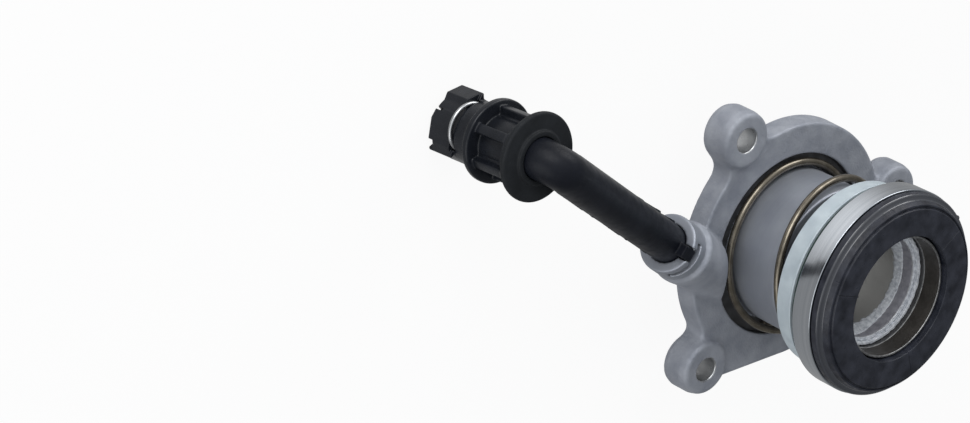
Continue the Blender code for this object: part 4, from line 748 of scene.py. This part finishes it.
# Annular piston: a moulded nylon ring that fluid pushes out of the cylinder, sliding on the sleeve.
# Its shoulder carries the spring cup, and its thin nose centres the bearing's inner ring.
black_plastic, place = finish("black_nylon", metallic=0.0, specular=0.17)
soil(black_plastic, place, size=8.0, colours=((0.0040, 0.0050, 0.0085), (0.0085, 0.0100, 0.0150)))
drift(black_plastic, place, size=2.5, low=0.34, high=0.48)
texture(black_plastic, place, size=1.4, depth=0.03)
texture(black_plastic, place, size=0.5, depth=0.012)
piston = [(20.1, 49.9, 0.25), (20.1, 42.0, 0.3), (23.4, 42.0, 0.3), (23.4, 19.8, 0.4),
          (19.1, 19.8, 0.3), (19.1, 49.9, 0.25)]
piece("moulded_piston", turned("moulded_piston", piston), "piston_group", ["piston"],
      "black_plastic", black_plastic)


# Preload spring: oil-tempered wire with a warm brown skin, wound round the tube. Its end coils lie
# flat in the housing's recess and in the cup, and it shortens as the piston goes back.
SPRING_WIRE = 1.3
COIL_RADIUS = 29.3
COIL_START = math.radians(-297.0)
FOOT_LEVEL = 7.1
HEAD_LEVEL = 40.7
FOOT_TURNS = 0.5
RISING_TURNS = 1.65
HEAD_TURNS = 0.6
CUT_BACK = 0.13
COIL_STEPS = 360
WIRE_CAPS = [(0.0, 0.75), (0.12, 0.92), (0.35, 1.0)]
WIRE_SHARP_EDGE = math.radians(50.0)


def bent_wire(name, points, wire, sides=20):
    """A round wire along points in millimetres, with softly rounded ends."""
    ways = []
    for index, point in enumerate(points):
        before, after = points[max(index - 1, 0)], points[min(index + 1, len(points) - 1)]
        ways.append((after - before).normalized())
    side = ways[0].orthogonal().normalized()
    sections = []
    for index, (point, way) in enumerate(zip(points, ways)):
        side = (side - way * side.dot(way)).normalized()
        sections.append((point, way, side.copy(), wire))
    start = [(points[0] + ways[0] * wire * back, ways[0], sections[0][2], wire * share)
             for back, share in WIRE_CAPS]
    end = [(points[-1] - ways[-1] * wire * back, ways[-1], sections[-1][2], wire * share)
           for back, share in WIRE_CAPS[::-1]]
    sections = start + sections[1:-1] + end
    vertices = []
    for point, way, side, radius in sections:
        up = way.cross(side)
        for index in range(sides):
            turn = 2 * math.pi * index / sides
            vertices.append((point + radius * (math.cos(turn) * side + math.sin(turn) * up)) * MM)
    faces = skin(len(sections), sides, joined=False)
    faces.append(tuple(range(sides))[::-1])
    faces.append(tuple(range((len(sections) - 1) * sides, len(sections) * sides)))
    mesh = bpy.data.meshes.new(name)
    mesh.from_pydata(vertices, [], faces)
    mesh.shade_smooth()
    mesh.set_sharp_from_angle(angle=WIRE_SHARP_EDGE)
    return mesh


def spring_height(turn):
    """Height of the wire's centre after some turns: flat, ever steeper, then flat again."""
    share = min(1.0, max(0.0, (turn - FOOT_TURNS) / RISING_TURNS))
    return FOOT_LEVEL + (HEAD_LEVEL - FOOT_LEVEL) * share ** 2 * (1 + 0.3 * (1 - share))


spring_steel, place = finish("tempered_spring_wire", metallic=0.85)
soil(spring_steel, place, size=3.5, colours=((0.140, 0.122, 0.094), (0.220, 0.194, 0.156)))
drift(spring_steel, place, size=1.2, low=0.16, high=0.27)
texture(spring_steel, place, size=0.6, depth=0.006)
turns = FOOT_TURNS + RISING_TURNS + HEAD_TURNS
coil = []
for step in range(COIL_STEPS + 1):
    turn = CUT_BACK + (turns - CUT_BACK) * step / COIL_STEPS
    angle = COIL_START + 2 * math.pi * turn
    coil.append(Vector((COIL_RADIUS * math.cos(angle), COIL_RADIUS * math.sin(angle), spring_height(turn))))
spring = piece("wound_spring", bent_wire("wound_spring", coil, SPRING_WIRE), "cylinder",
               ["preload_spring"], "spring_steel", spring_steel)
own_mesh(spring)


# Spring cup and seal plate: the cup is pressed from thin steel sheet with a bright blue-white zinc
# coat, and its skirt keeps the spring's top coil centred. The plain plate above backs the rear seal.
zinc, place = finish("zinc_plated_sheet", metallic=0.3)
soil(zinc, place, size=6.0, colours=((0.46, 0.53, 0.575), (0.56, 0.635, 0.675)))
drift(zinc, place, size=2.0, low=0.40, high=0.52)
texture(zinc, place, size=1.1, depth=0.012)
cup = [(32.3, 43.1, 1.0), (32.3, 36.2, 0.25), (31.5, 36.2, 0.25), (31.5, 42.3, 0.5),
       (20.4, 42.3, 0.2), (20.4, 43.1, 0.2)]
piece("pressed_cup", turned("pressed_cup", cup), "piston_group", ["spring_cup"], "zinc_sheet", zinc)
plate = [(34.0, 44.15, 0.2), (34.0, 43.3, 0.2), (28.4, 43.3, 0.15), (28.4, 44.15, 0.15)]
piece("flat_seal_plate", turned("flat_seal_plate", plate), "piston_group", ["seal_plate"],
      "turned_steel", zinc)


# Rear seal: a dark green nitrile ring that closes the bearing's back, between the plate and the ring.
green_rubber, place = finish("green_nitrile", metallic=0.0, specular=0.4)
soil(green_rubber, place, size=4.0, colours=((0.006, 0.022, 0.016), (0.010, 0.034, 0.025)))
drift(green_rubber, place, size=2.0, low=0.42, high=0.58)
texture(green_rubber, place, size=0.5, depth=0.012)
rear_seal = [(33.4, 46.3, 0.3), (33.4, 44.3, 0.4), (29.0, 44.3, 0.3), (31.6, 46.3, 0.3)]
piece("rear_lip_seal", turned("rear_lip_seal", rear_seal), "piston_group", ["rear_seal"],
      "green_rubber", green_rubber)


# Release bearing: an outer ring pressed from polished bearing steel turns with the clutch, on balls
# held in a nylon cage. The brown hardened inner ring stands still on the piston's nose.
BALL_PITCH = 28.2
BALL_LEVEL = 50.4
RACE_RADIUS = 3.5
BALL_RADIUS = 3.2
BALL_COUNT = 14
BALL_STEPS = 24
BALL_SIDES = 36


def race(start, end, steps=18):
    """Points of the ball race between two directions in the section, in degrees from straight out."""
    angles = [math.radians(start + (end - start) * step / steps) for step in range(steps + 1)]
    return [(BALL_PITCH + RACE_RADIUS * math.cos(angle), BALL_LEVEL + RACE_RADIUS * math.sin(angle))
            for angle in angles]


polished, place = finish("polished_bearing_steel", metallic=1.0)
rings = lathe_place(polished, place)
soil(polished, rings, size=1.2, colours=((0.49, 0.52, 0.56), (0.60, 0.63, 0.67)))
drift(polished, rings, size=0.4, low=0.16, high=0.26)
texture(polished, rings, size=0.25, depth=0.0025)
texture(polished, place, size=5.0, depth=0.006)
groove = race(-20.0, 95.0)
outer = [(35.5, 54.5, 0.25), (35.5, 46.6, 0.35), (32.0, 46.6, 0.2), *groove,
         (27.0, groove[-1][1]), (27.0, 54.5, 0.2)]
piece("polished_outer_ring", turned("polished_outer_ring", outer), "bearing_front", ["outer_ring"],
      "polished_steel", polished)

brown_steel, place = finish("browned_hard_steel", metallic=0.7)
rings = lathe_place(brown_steel, place)
soil(brown_steel, place, size=7.0, colours=((0.055, 0.050, 0.045), (0.095, 0.088, 0.080)))
drift(brown_steel, rings, size=0.6, low=0.34, high=0.50)
texture(brown_steel, rings, size=0.4, depth=0.008)
rim_steel, place = finish("rubbed_ring_edge", metallic=0.9)
soil(rim_steel, place, size=1.5, colours=((0.20, 0.20, 0.20), (0.42, 0.42, 0.42)))
drift(rim_steel, place, size=1.0, low=0.25, high=0.45)
texture(rim_steel, place, size=0.5, depth=0.02)
curve = race(165.0, 260.0)
inner = [(21.2, 58.5, 0.25), (21.2, curve[0][1] + 2.0), *curve, (curve[-1][0], 43.4, 0.2),
         (20.4, 43.4, 0.2), (20.4, 51.1), (20.2, 51.25), (20.2, 51.6), (20.4, 51.75), (20.4, 58.5, 0.25)]
inner_mesh = turned("browned_inner_ring", inner)
x, y, z = face_centres(inner_mesh)
kinds = ((z > 58.0) | (np.abs(z - 51.42) < 0.3)).astype(np.int32)
# Painted shade: the bore and race below the groove take the dark finish, where the gap over the piston's
# nose lies in shade.
kinds[z < 51.05] = 2
inner_mesh.polygons.foreach_set("material_index", kinds)
piece("browned_inner_ring", inner_mesh, "piston_group", ["inner_ring"], "dark_steel",
      brown_steel, rim_steel, painted_shade_recess)

cage_nylon, place = finish("natural_nylon", metallic=0.0)
soil(cage_nylon, place, size=5.0, colours=((0.40, 0.33, 0.21), (0.50, 0.43, 0.29)))
drift(cage_nylon, place, size=2.0, low=0.4, high=0.55)
texture(cage_nylon, place, size=0.6, depth=0.01)
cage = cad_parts["ball_cage"]
cage.data.materials.clear()
cage.data.materials.append(cage_nylon)

ball_steel, place = finish("ground_ball_steel", metallic=1.0)
soil(ball_steel, place, size=4.0, colours=((0.60, 0.60, 0.61), (0.66, 0.66, 0.67)))
drift(ball_steel, place, size=2.0, low=0.06, high=0.12)
section = []
for step in range(1, BALL_STEPS):
    angle = math.pi * step / BALL_STEPS
    section.append((BALL_RADIUS * math.sin(angle), BALL_RADIUS * math.cos(angle)))
size = len(section)
faces = []
for turn in range(BALL_SIDES):
    near, far = 2 + turn * size, 2 + (turn + 1) % BALL_SIDES * size
    faces.append((0, near, far))
    faces.append((1, far + size - 1, near + size - 1))
    for index in range(size - 1):
        faces.append((near + index, near + index + 1, far + index + 1, far + index))
for number in range(1, BALL_COUNT + 1):
    node = f"ball_{number:02d}"
    low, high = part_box(node)
    centre = (low + high) / 2
    vertices = [Vector((0, 0, BALL_RADIUS)) * MM + centre, Vector((0, 0, -BALL_RADIUS)) * MM + centre]
    for turn in range(BALL_SIDES):
        angle = 2 * math.pi * turn / BALL_SIDES
        vertices += [Vector((r * math.cos(angle), r * math.sin(angle), h)) * MM + centre
                     for r, h in section]
    ball_mesh = bpy.data.meshes.new(f"ground_{node}")
    ball_mesh.from_pydata(vertices, [], faces)
    ball_mesh.shade_smooth()
    piece(f"ground_{node}", ball_mesh, "ball_set", [node], "polished_steel", ball_steel)


# Thrust ring: moulded from blue-black glass-filled nylon and snapped on the outer ring, where the
# clutch's spring fingers rub on it. Three fine parting lines cross its face, each with a small nib.
PARTING_LINES = (20.0, 144.0, 254.0)
LINE_DEPTH = 0.22
LINE_POINTS = (-0.75, -0.42, -0.2, 0.2, 0.42, 0.75)
RING_STEP = 1.5
BORE_NIB = -0.5
RIM_NIB = 0.45

blue_black, place = finish("blue_black_nylon", metallic=0.0, specular=0.4)
soil(blue_black, place, size=5.0, colours=((0.0065, 0.0080, 0.0140), (0.0265, 0.0295, 0.0420)), detail=7.0)
drift(blue_black, place, size=1.6, low=0.26, high=0.56)
texture(blue_black, place, size=1.6, depth=0.06)
texture(blue_black, place, size=0.5, depth=0.02)
texture(blue_black, lathe_place(blue_black, place), size=0.5, depth=0.006)
# Partly scuffs, partly painted sheen: the shoulder's colour is lighter than the face's, standing in for the
# lamp's highlight there.
shoulder_sheen_and_scuffs, place = finish("nylon_edge_scuffs_and_painted_sheen", metallic=0.0, specular=0.9)
soil(shoulder_sheen_and_scuffs, lathe_place(shoulder_sheen_and_scuffs, place), size=0.9, colours=((0.020, 0.022, 0.029), (0.056, 0.060, 0.072)))
drift(shoulder_sheen_and_scuffs, place, size=1.2, low=0.13, high=0.24)
texture(shoulder_sheen_and_scuffs, place, size=1.2, depth=0.02)
thrust = [
    (30.9, 60.7, 0.35), (31.15, 59.75, 0.1), (31.55, 59.75, 0.1), (31.75, 60.15, 0.12), (32.3, 60.0, 0.25),
    (33.1, 57.75, 0.9), (35.0, 57.15, 0.95), (35.0, 54.8, 0.15), (26.7, 54.8), (26.7, 53.8, 0.2),
    (25.2, 53.8, 0.2), (25.2, 54.8), (21.7, 54.8, 0.2), (21.7, 60.7, 0.3)]
angles = [RING_STEP * step for step in range(int(360 / RING_STEP))]
angles = [angle for angle in angles if min(abs(angle - line) for line in PARTING_LINES) > 0.8]
for line in PARTING_LINES:
    angles += [line + side for side in LINE_POINTS]
angles.sort()
thrust_mesh = turned("moulded_thrust_ring", thrust, angles)
for vertex in thrust_mesh.vertices:
    turn = math.degrees(math.atan2(vertex.co.y, vertex.co.x)) % 360.0
    off = min(abs(turn - line) for line in PARTING_LINES)
    reach = math.hypot(vertex.co.x, vertex.co.y) / MM
    on_first = abs(turn - PARTING_LINES[0]) < 1
    if off < 0.3 and vertex.co.z > 60.2 * MM:
        vertex.co.z -= LINE_DEPTH * MM
    nib = 0.0
    if off < 0.5 and on_first and reach < 22.2 and vertex.co.z > 58.5 * MM:
        nib = BORE_NIB
    if off < 0.5 and not on_first and reach > 34.0 and vertex.co.z > 55.5 * MM:
        nib = RIM_NIB
    vertex.co.x *= 1 + nib / reach
    vertex.co.y *= 1 + nib / reach
x, y, z = face_centres(thrust_mesh)
kinds = ((np.hypot(x, y) > 33.0) & (z > 56.9)).astype(np.int32)
thrust_mesh.polygons.foreach_set("material_index", kinds)
piece("moulded_thrust_ring", thrust_mesh, "bearing_front", ["thrust_ring"], "black_plastic",
      blue_black, shoulder_sheen_and_scuffs)


# Fluid pipe: a stiff moulded nylon tube with a key that stops it turning in the boss. Flash stands
# along both sides where the mould closed, in short steps. A rubber ring and a wire clip hold it.
PIPE_RADIUS = 6.45
PIPE_BORE = 4.0
PIPE_RUN = 76.9
PIPE_BEND = 6.6
BEND_STEPS = 24
END_IN_BOSS = 14.0
END_IN_PLUG = 17.0
KEY_HALF_WIDTH = 2.1
KEY_TOP = 9.15
SEAL_NECK = 5.4
SEAL_DEPTH = 10.9
LOW_FLASH = 0.12
PIPE_WAY = Vector((math.cos(BOSS_RISE), 0.0, math.sin(BOSS_RISE)))
PIPE_CORNER = BOSS_MOUTH + PIPE_RUN * PIPE_WAY
CONNECTOR_TURN = Euler((math.radians(3.8), math.radians(-2.2), 0.0)).to_matrix()
CONNECTOR_WAY = CONNECTOR_TURN @ Vector((0.0, 0.0, -1.0))
# Teeth of flash on each side: where each starts and ends along the pipe, and how far it stands out.
FLASH = {-1: [(31.0, 25.0, 0.30), (23.5, 13.0, 0.65), (12.0, 2.5, 0.75)],
         1: [(66.0, 52.0, 0.25), (47.0, 45.0, 0.35), (43.0, 27.0, 0.30), (24.0, 22.0, 0.40),
             (14.0, 8.0, 0.40)]}
RING_WIRE = 0.75
RING_WIRE_REACH = 7.7
RING_WIRE_DEPTH = 3.6
RING_WIRE_SPAN = (-62.0, 245.0)
RING_WIRE_STEPS = 96
WIRE_SIDES = 14


def pipe_line():
    """The pipe's centre line from inside the boss, round the corner and into the connector."""
    turning = math.acos(PIPE_WAY.dot(CONNECTOR_WAY))
    bend_start = PIPE_CORNER - PIPE_BEND * math.tan(turning / 2) * PIPE_WAY
    inward = (CONNECTOR_WAY - PIPE_WAY * PIPE_WAY.dot(CONNECTOR_WAY)).normalized()
    centre = bend_start + PIPE_BEND * inward
    points = [BOSS_MOUTH - 16.0 * PIPE_WAY]
    for step in range(BEND_STEPS + 1):
        angle = turning * step / BEND_STEPS
        points.append(centre + PIPE_BEND * (math.sin(angle) * PIPE_WAY - math.cos(angle) * inward))
    points.append(PIPE_CORNER + 19.0 * CONNECTOR_WAY)
    return points


def pipe_form(x, y, z):
    """The tube with its bore, key, ring neck and flash lines."""
    line = pipe_line()
    nearest = np.full(np.broadcast(x, y, z).shape, 1e9, np.float32)
    for start, end in zip(line, line[1:]):
        way = end - start
        along = ((x - start.x) * way.x + (y - start.y) * way.y + (z - start.z) * way.z) / way.length_squared
        along = np.clip(along, 0, 1)
        nearest = np.minimum(nearest, np.sqrt((x - start.x - along * way.x) ** 2
                                              + (y - start.y - along * way.y) ** 2
                                              + (z - start.z - along * way.z) ** 2))
    depth, reach, across, height = on_boss(x, y, z)
    tube = nearest - PIPE_RADIUS
    run = -depth
    fin_height = np.full(run.shape, LOW_FLASH, np.float32)
    for side, teeth in FLASH.items():
        for start, end, tall in teeth:
            rise = (end - run) / (end - start)
            tooth = (rise >= 0) & (rise <= 1) & (across * side > 0)
            fin_height = np.where(tooth, np.maximum(fin_height, tall * (1 - 0.8 * rise)), fin_height)
    fin = np.maximum(np.maximum(np.abs(height) - 0.32, np.abs(across) - PIPE_RADIUS - fin_height),
                     np.maximum(1.2 - run, run - 68.0))
    tube = merged(tube, fin, fillet=0.15)
    key = trimmed(np.abs(across) - KEY_HALF_WIDTH, np.abs(run - 0.2) - 3.0, edge=0.15)
    key = np.maximum(key, np.maximum(height - KEY_TOP, 3.0 - height))
    tube = merged(tube, key, fillet=0.3)
    neck = np.maximum(SEAL_NECK - reach, np.abs(depth - SEAL_DEPTH) - 1.1)
    tube = np.maximum(tube, -neck)
    tube = np.maximum(tube, PIPE_BORE - nearest)
    socket = ((x - PIPE_CORNER.x) * CONNECTOR_WAY.x + (y - PIPE_CORNER.y) * CONNECTOR_WAY.y
              + (z - PIPE_CORNER.z) * CONNECTOR_WAY.z)
    return np.maximum(tube, np.maximum(depth - END_IN_BOSS, socket - END_IN_PLUG))


pipe_mesh = moulded("moulded_pipe", low=(40.0, 13.5, 6.0), high=(141.0, 31.5, 34.5), step=0.34,
                    form=pipe_form)
piece("moulded_pipe", pipe_mesh, "cylinder", ["fluid_pipe"], "black_plastic", black_plastic)
boss_lean = Euler((0.0, math.pi / 2 - BOSS_RISE, 0.0)).to_matrix().to_4x4()
boss_turn = Matrix.Translation(BOSS_MOUTH * MM) @ boss_lean
pipe_ring = turned("pipe_ring", [
    (6.6, -10.1, 0.5), (6.6, -11.7, 0.5), (5.5, -11.7, 0.5), (5.5, -10.1, 0.5)])
pipe_ring.transform(boss_turn)
piece("pipe_ring", pipe_ring, "cylinder", ["pipe_seal"], "black_rubber", black_rubber)

wire_steel, place = finish("bright_drawn_wire", metallic=1.0)
soil(wire_steel, place, size=3.0, colours=((0.42, 0.43, 0.44), (0.56, 0.57, 0.58)))
drift(wire_steel, place, size=1.0, low=0.20, high=0.32)
texture(wire_steel, place, size=0.4, depth=0.004)
ring_points = []
first, last = RING_WIRE_SPAN
for step in range(RING_WIRE_STEPS + 1):
    turn = math.radians(90.0 + first + (last - first) * step / RING_WIRE_STEPS)
    ring_points.append(Vector((RING_WIRE_REACH * math.cos(turn), RING_WIRE_REACH * math.sin(turn),
                               -RING_WIRE_DEPTH)))
clip_mesh = bent_wire("boss_clip", ring_points, RING_WIRE, WIRE_SIDES)
clip_mesh.transform(boss_turn)
piece("boss_clip", clip_mesh, "cylinder", ["pipe_clip"], "bright_wire", wire_steel)


# Grommet and plug-in connector: a black rubber disc seals the bell housing's wall, and below it the
# moulded connector takes the clutch line's plug. A bright wire clip in its slots locks the plug.
GROMMET_TOP = -6.6
GROMMET_RADIUS = 13.85
NECK_RADIUS = 8.6
RIB_REACH = 11.4
WINDOW_LOW = -23.9
FLANGE_LOW = -26.3
FLANGE_RADIUS = 13.1
PLUG_BARREL = 9.9
BARREL_MIDDLE = -35.0
BARREL_HALF = 9.2
MOUTH = -44.7
SOCKET_RADIUS = 6.9
SOCKET_DEPTH = 8.5
NOSE_BORE = 6.2
NOSE_DEPTH = 20.0
FLUID_BORE = 3.0
RING_GROOVE = 7.15
RING_LEVEL = 12.5
PIPE_SOCKET = 6.75
PIPE_SOCKET_LOW = -17.3
MOUTH_NOTCHES = ((57.0, 7.0, 2.0), (-7.0, 2.5, 3.0), (112.0, 7.0, 2.2), (-110.0, 7.0, 2.2))
CLIP_LEVEL = MOUTH + 10.3
SLOT_HALF_HEIGHT = 0.8
SLOT_SIDE = 7.65
SLOT_HALF_WIDTH = 0.75
SLOT_BACK = -8.5
FRONT_SLOT = 5.4
FRONT_SLOT_REACH = 9.55
CONNECTOR_GRAIN = 0.25
LOCKING_WIRE = 0.68
ARM_STEPS = 12
BOW_STEPS = 60
HEAD_PLAN = [(4.3, 10.9), (3.9, 9.3), (-3.3, 9.9), (-6.9, 7.5), (-11.0, 6.6), (-11.7, 3.4), (-10.9, -2.1),
             (-6.0, -8.7), (-3.6, -9.5), (3.7, -9.8), (4.9, -11.2), (9.0, -6.9), (8.2, -2.3), (9.9, -1.4),
             (9.9, 2.2), (6.8, 8.4)]
connector_turn = Matrix.Translation(PIPE_CORNER * MM) @ CONNECTOR_TURN.to_4x4()


def grommet_form(x, y, z):
    """The disc, its raised ring and the hollow where the pipe arrives."""
    reach = np.hypot(x, y)
    disc = trimmed(reach - GROMMET_RADIUS, np.abs(z - GROMMET_TOP + 1.0) - 1.0, edge=0.8)
    ring = trimmed(np.abs(reach - 7.5) - 0.9, z - GROMMET_TOP - 0.9, edge=0.4)
    disc = merged(disc, np.maximum(ring, GROMMET_TOP - 1.0 - z), fillet=0.5)
    way = CONNECTOR_TURN.transposed() @ PIPE_WAY
    along = np.minimum(x * way.x + y * way.y + z * way.z, 0.0)
    pipe = np.sqrt((x - along * way.x) ** 2 + (y - along * way.y) ** 2 + (z - along * way.z) ** 2)
    return np.maximum(disc, -np.minimum(reach - PIPE_RADIUS, pipe - PIPE_RADIUS) + 0.1)


def connector_form(x, y, z):
    """Ribbed neck, flange, barrel and faceted head, with the socket and the clip's slots."""
    reach = np.hypot(x, y)
    top = GROMMET_TOP - 2.3
    turn = np.degrees(np.arctan2(y, x))
    off_rib = np.abs((turn + 30.0) % 60.0 - 30.0) - 8.0
    ribs = trimmed(reach - RIB_REACH, np.radians(off_rib) * reach, edge=0.35)
    neck = merged(reach - NECK_RADIUS, ribs, fillet=0.7)
    band = trimmed(reach - RIB_REACH, np.abs(z - top + 1.2) - 1.2, edge=0.35)
    neck_length = np.abs(z - (top + WINDOW_LOW) / 2) - (top - WINDOW_LOW) / 2
    neck = merged(np.maximum(neck, neck_length), band, fillet=0.6)
    flange = trimmed(reach - FLANGE_RADIUS, np.abs(z - (WINDOW_LOW + FLANGE_LOW) / 2) - 1.2, edge=0.7)
    body = merged(neck, flange, fillet=0.5)
    shoulder = reach - PLUG_BARREL - 2.2 * np.clip(1.0 + (z - FLANGE_LOW) / 3.4, 0.0, 1.0) ** 2
    barrel = np.maximum(shoulder, np.abs(z - BARREL_MIDDLE) - BARREL_HALF)
    body = merged(body, barrel, fillet=0.5)
    plan = polygon(x, y, HEAD_PLAN)
    head = trimmed(plan, np.abs(z - MOUTH - 5.2) - 5.2, edge=0.4)
    body = merged(body, head, fillet=0.4)
    socket = np.maximum(reach - SOCKET_RADIUS - np.clip(MOUTH + 0.8 - z, 0, 2), z - MOUTH - SOCKET_DEPTH)
    seat = np.minimum(np.maximum(reach - NOSE_BORE, z - MOUTH - NOSE_DEPTH), reach - FLUID_BORE)
    seal_groove = np.maximum(reach - RING_GROOVE, np.abs(z - MOUTH - RING_LEVEL) - 0.95)
    pipe_socket = np.maximum(reach - PIPE_SOCKET, PIPE_SOCKET_LOW - z)
    cut = np.minimum(np.minimum(socket, seat), np.minimum(seal_groove, pipe_socket))
    for middle, half, deep in MOUTH_NOTCHES:
        off = np.abs((turn - middle + 180.0) % 360.0 - 180.0) - half
        notch = np.maximum(np.radians(off) * reach, z - MOUTH - deep)
        cut = np.minimum(cut, np.maximum(notch, 7.9 - reach))
    level = np.abs(z - CLIP_LEVEL) - SLOT_HALF_HEIGHT
    side = np.abs(np.abs(y) - SLOT_SIDE) - SLOT_HALF_WIDTH
    slot = np.maximum(level, np.maximum(side, SLOT_BACK - x))
    front = np.maximum(level, np.maximum(FRONT_SLOT - x, FRONT_SLOT_REACH - reach))
    cut = np.minimum(cut, np.minimum(slot, front))
    return np.maximum(body, -cut)


connector_plastic, place = finish("black_connector_nylon", metallic=0.0, specular=0.30)
soil(connector_plastic, place, size=6.0, colours=((0.0065, 0.0080, 0.0115), (0.0120, 0.0140, 0.0190)))
drift(connector_plastic, place, size=2.0, low=0.24, high=0.40)
texture(connector_plastic, place, size=0.5, depth=0.010)
grommet_mesh = moulded("moulded_grommet", low=(-15.0, -15.0, -9.6), high=(15.0, 15.0, -4.6),
                       step=CONNECTOR_GRAIN, form=grommet_form)
grommet_mesh.transform(connector_turn)
piece("moulded_grommet", grommet_mesh, "cylinder", ["grommet"], "black_rubber", black_rubber)
connector_mesh = moulded("moulded_connector", low=(-14.5, -14.5, -45.8), high=(14.5, 14.5, -7.8),
                         step=CONNECTOR_GRAIN, form=connector_form)
connector_mesh.transform(connector_turn)
piece("moulded_connector", connector_mesh, "cylinder", ["connector_body"], "black_plastic",
      connector_plastic)
socket_ring = turned("socket_ring", [
    (7.1, -31.5, 0.7), (7.1, -32.9, 0.7), (5.9, -32.9, 0.5), (5.9, -31.5, 0.5)])
socket_ring.transform(connector_turn)
piece("socket_ring", socket_ring, "cylinder", ["socket_seal"], "black_rubber", black_rubber)

CLIP_ARM, CLIP_FRONT, CLIP_BOW, CLIP_BACK = 7.6, 3.5, 11.1, 7.0
bow_radius = (CLIP_ARM ** 2 + (CLIP_BOW - CLIP_FRONT) ** 2) / (2 * (CLIP_BOW - CLIP_FRONT))
bow_centre = CLIP_BOW - bow_radius
swing = math.atan2(CLIP_ARM, CLIP_FRONT - bow_centre)
arm_length = CLIP_BACK + CLIP_FRONT
wire_line = [Vector((-CLIP_BACK + arm_length * step / ARM_STEPS, -CLIP_ARM, CLIP_LEVEL))
             for step in range(ARM_STEPS)]
for step in range(BOW_STEPS + 1):
    angle = -swing + 2 * swing * step / BOW_STEPS
    wire_line.append(Vector((bow_centre + bow_radius * math.cos(angle), bow_radius * math.sin(angle),
                             CLIP_LEVEL)))
wire_line += [Vector((CLIP_FRONT - arm_length * step / ARM_STEPS, CLIP_ARM, CLIP_LEVEL))
              for step in range(1, ARM_STEPS + 1)]
clip_mesh = bent_wire("locking_wire", wire_line, LOCKING_WIRE, WIRE_SIDES)
clip_mesh.transform(connector_turn)
piece("locking_wire", clip_mesh, "connector_clip", ["wire_clip"], "bright_wire", wire_steel)


low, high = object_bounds()
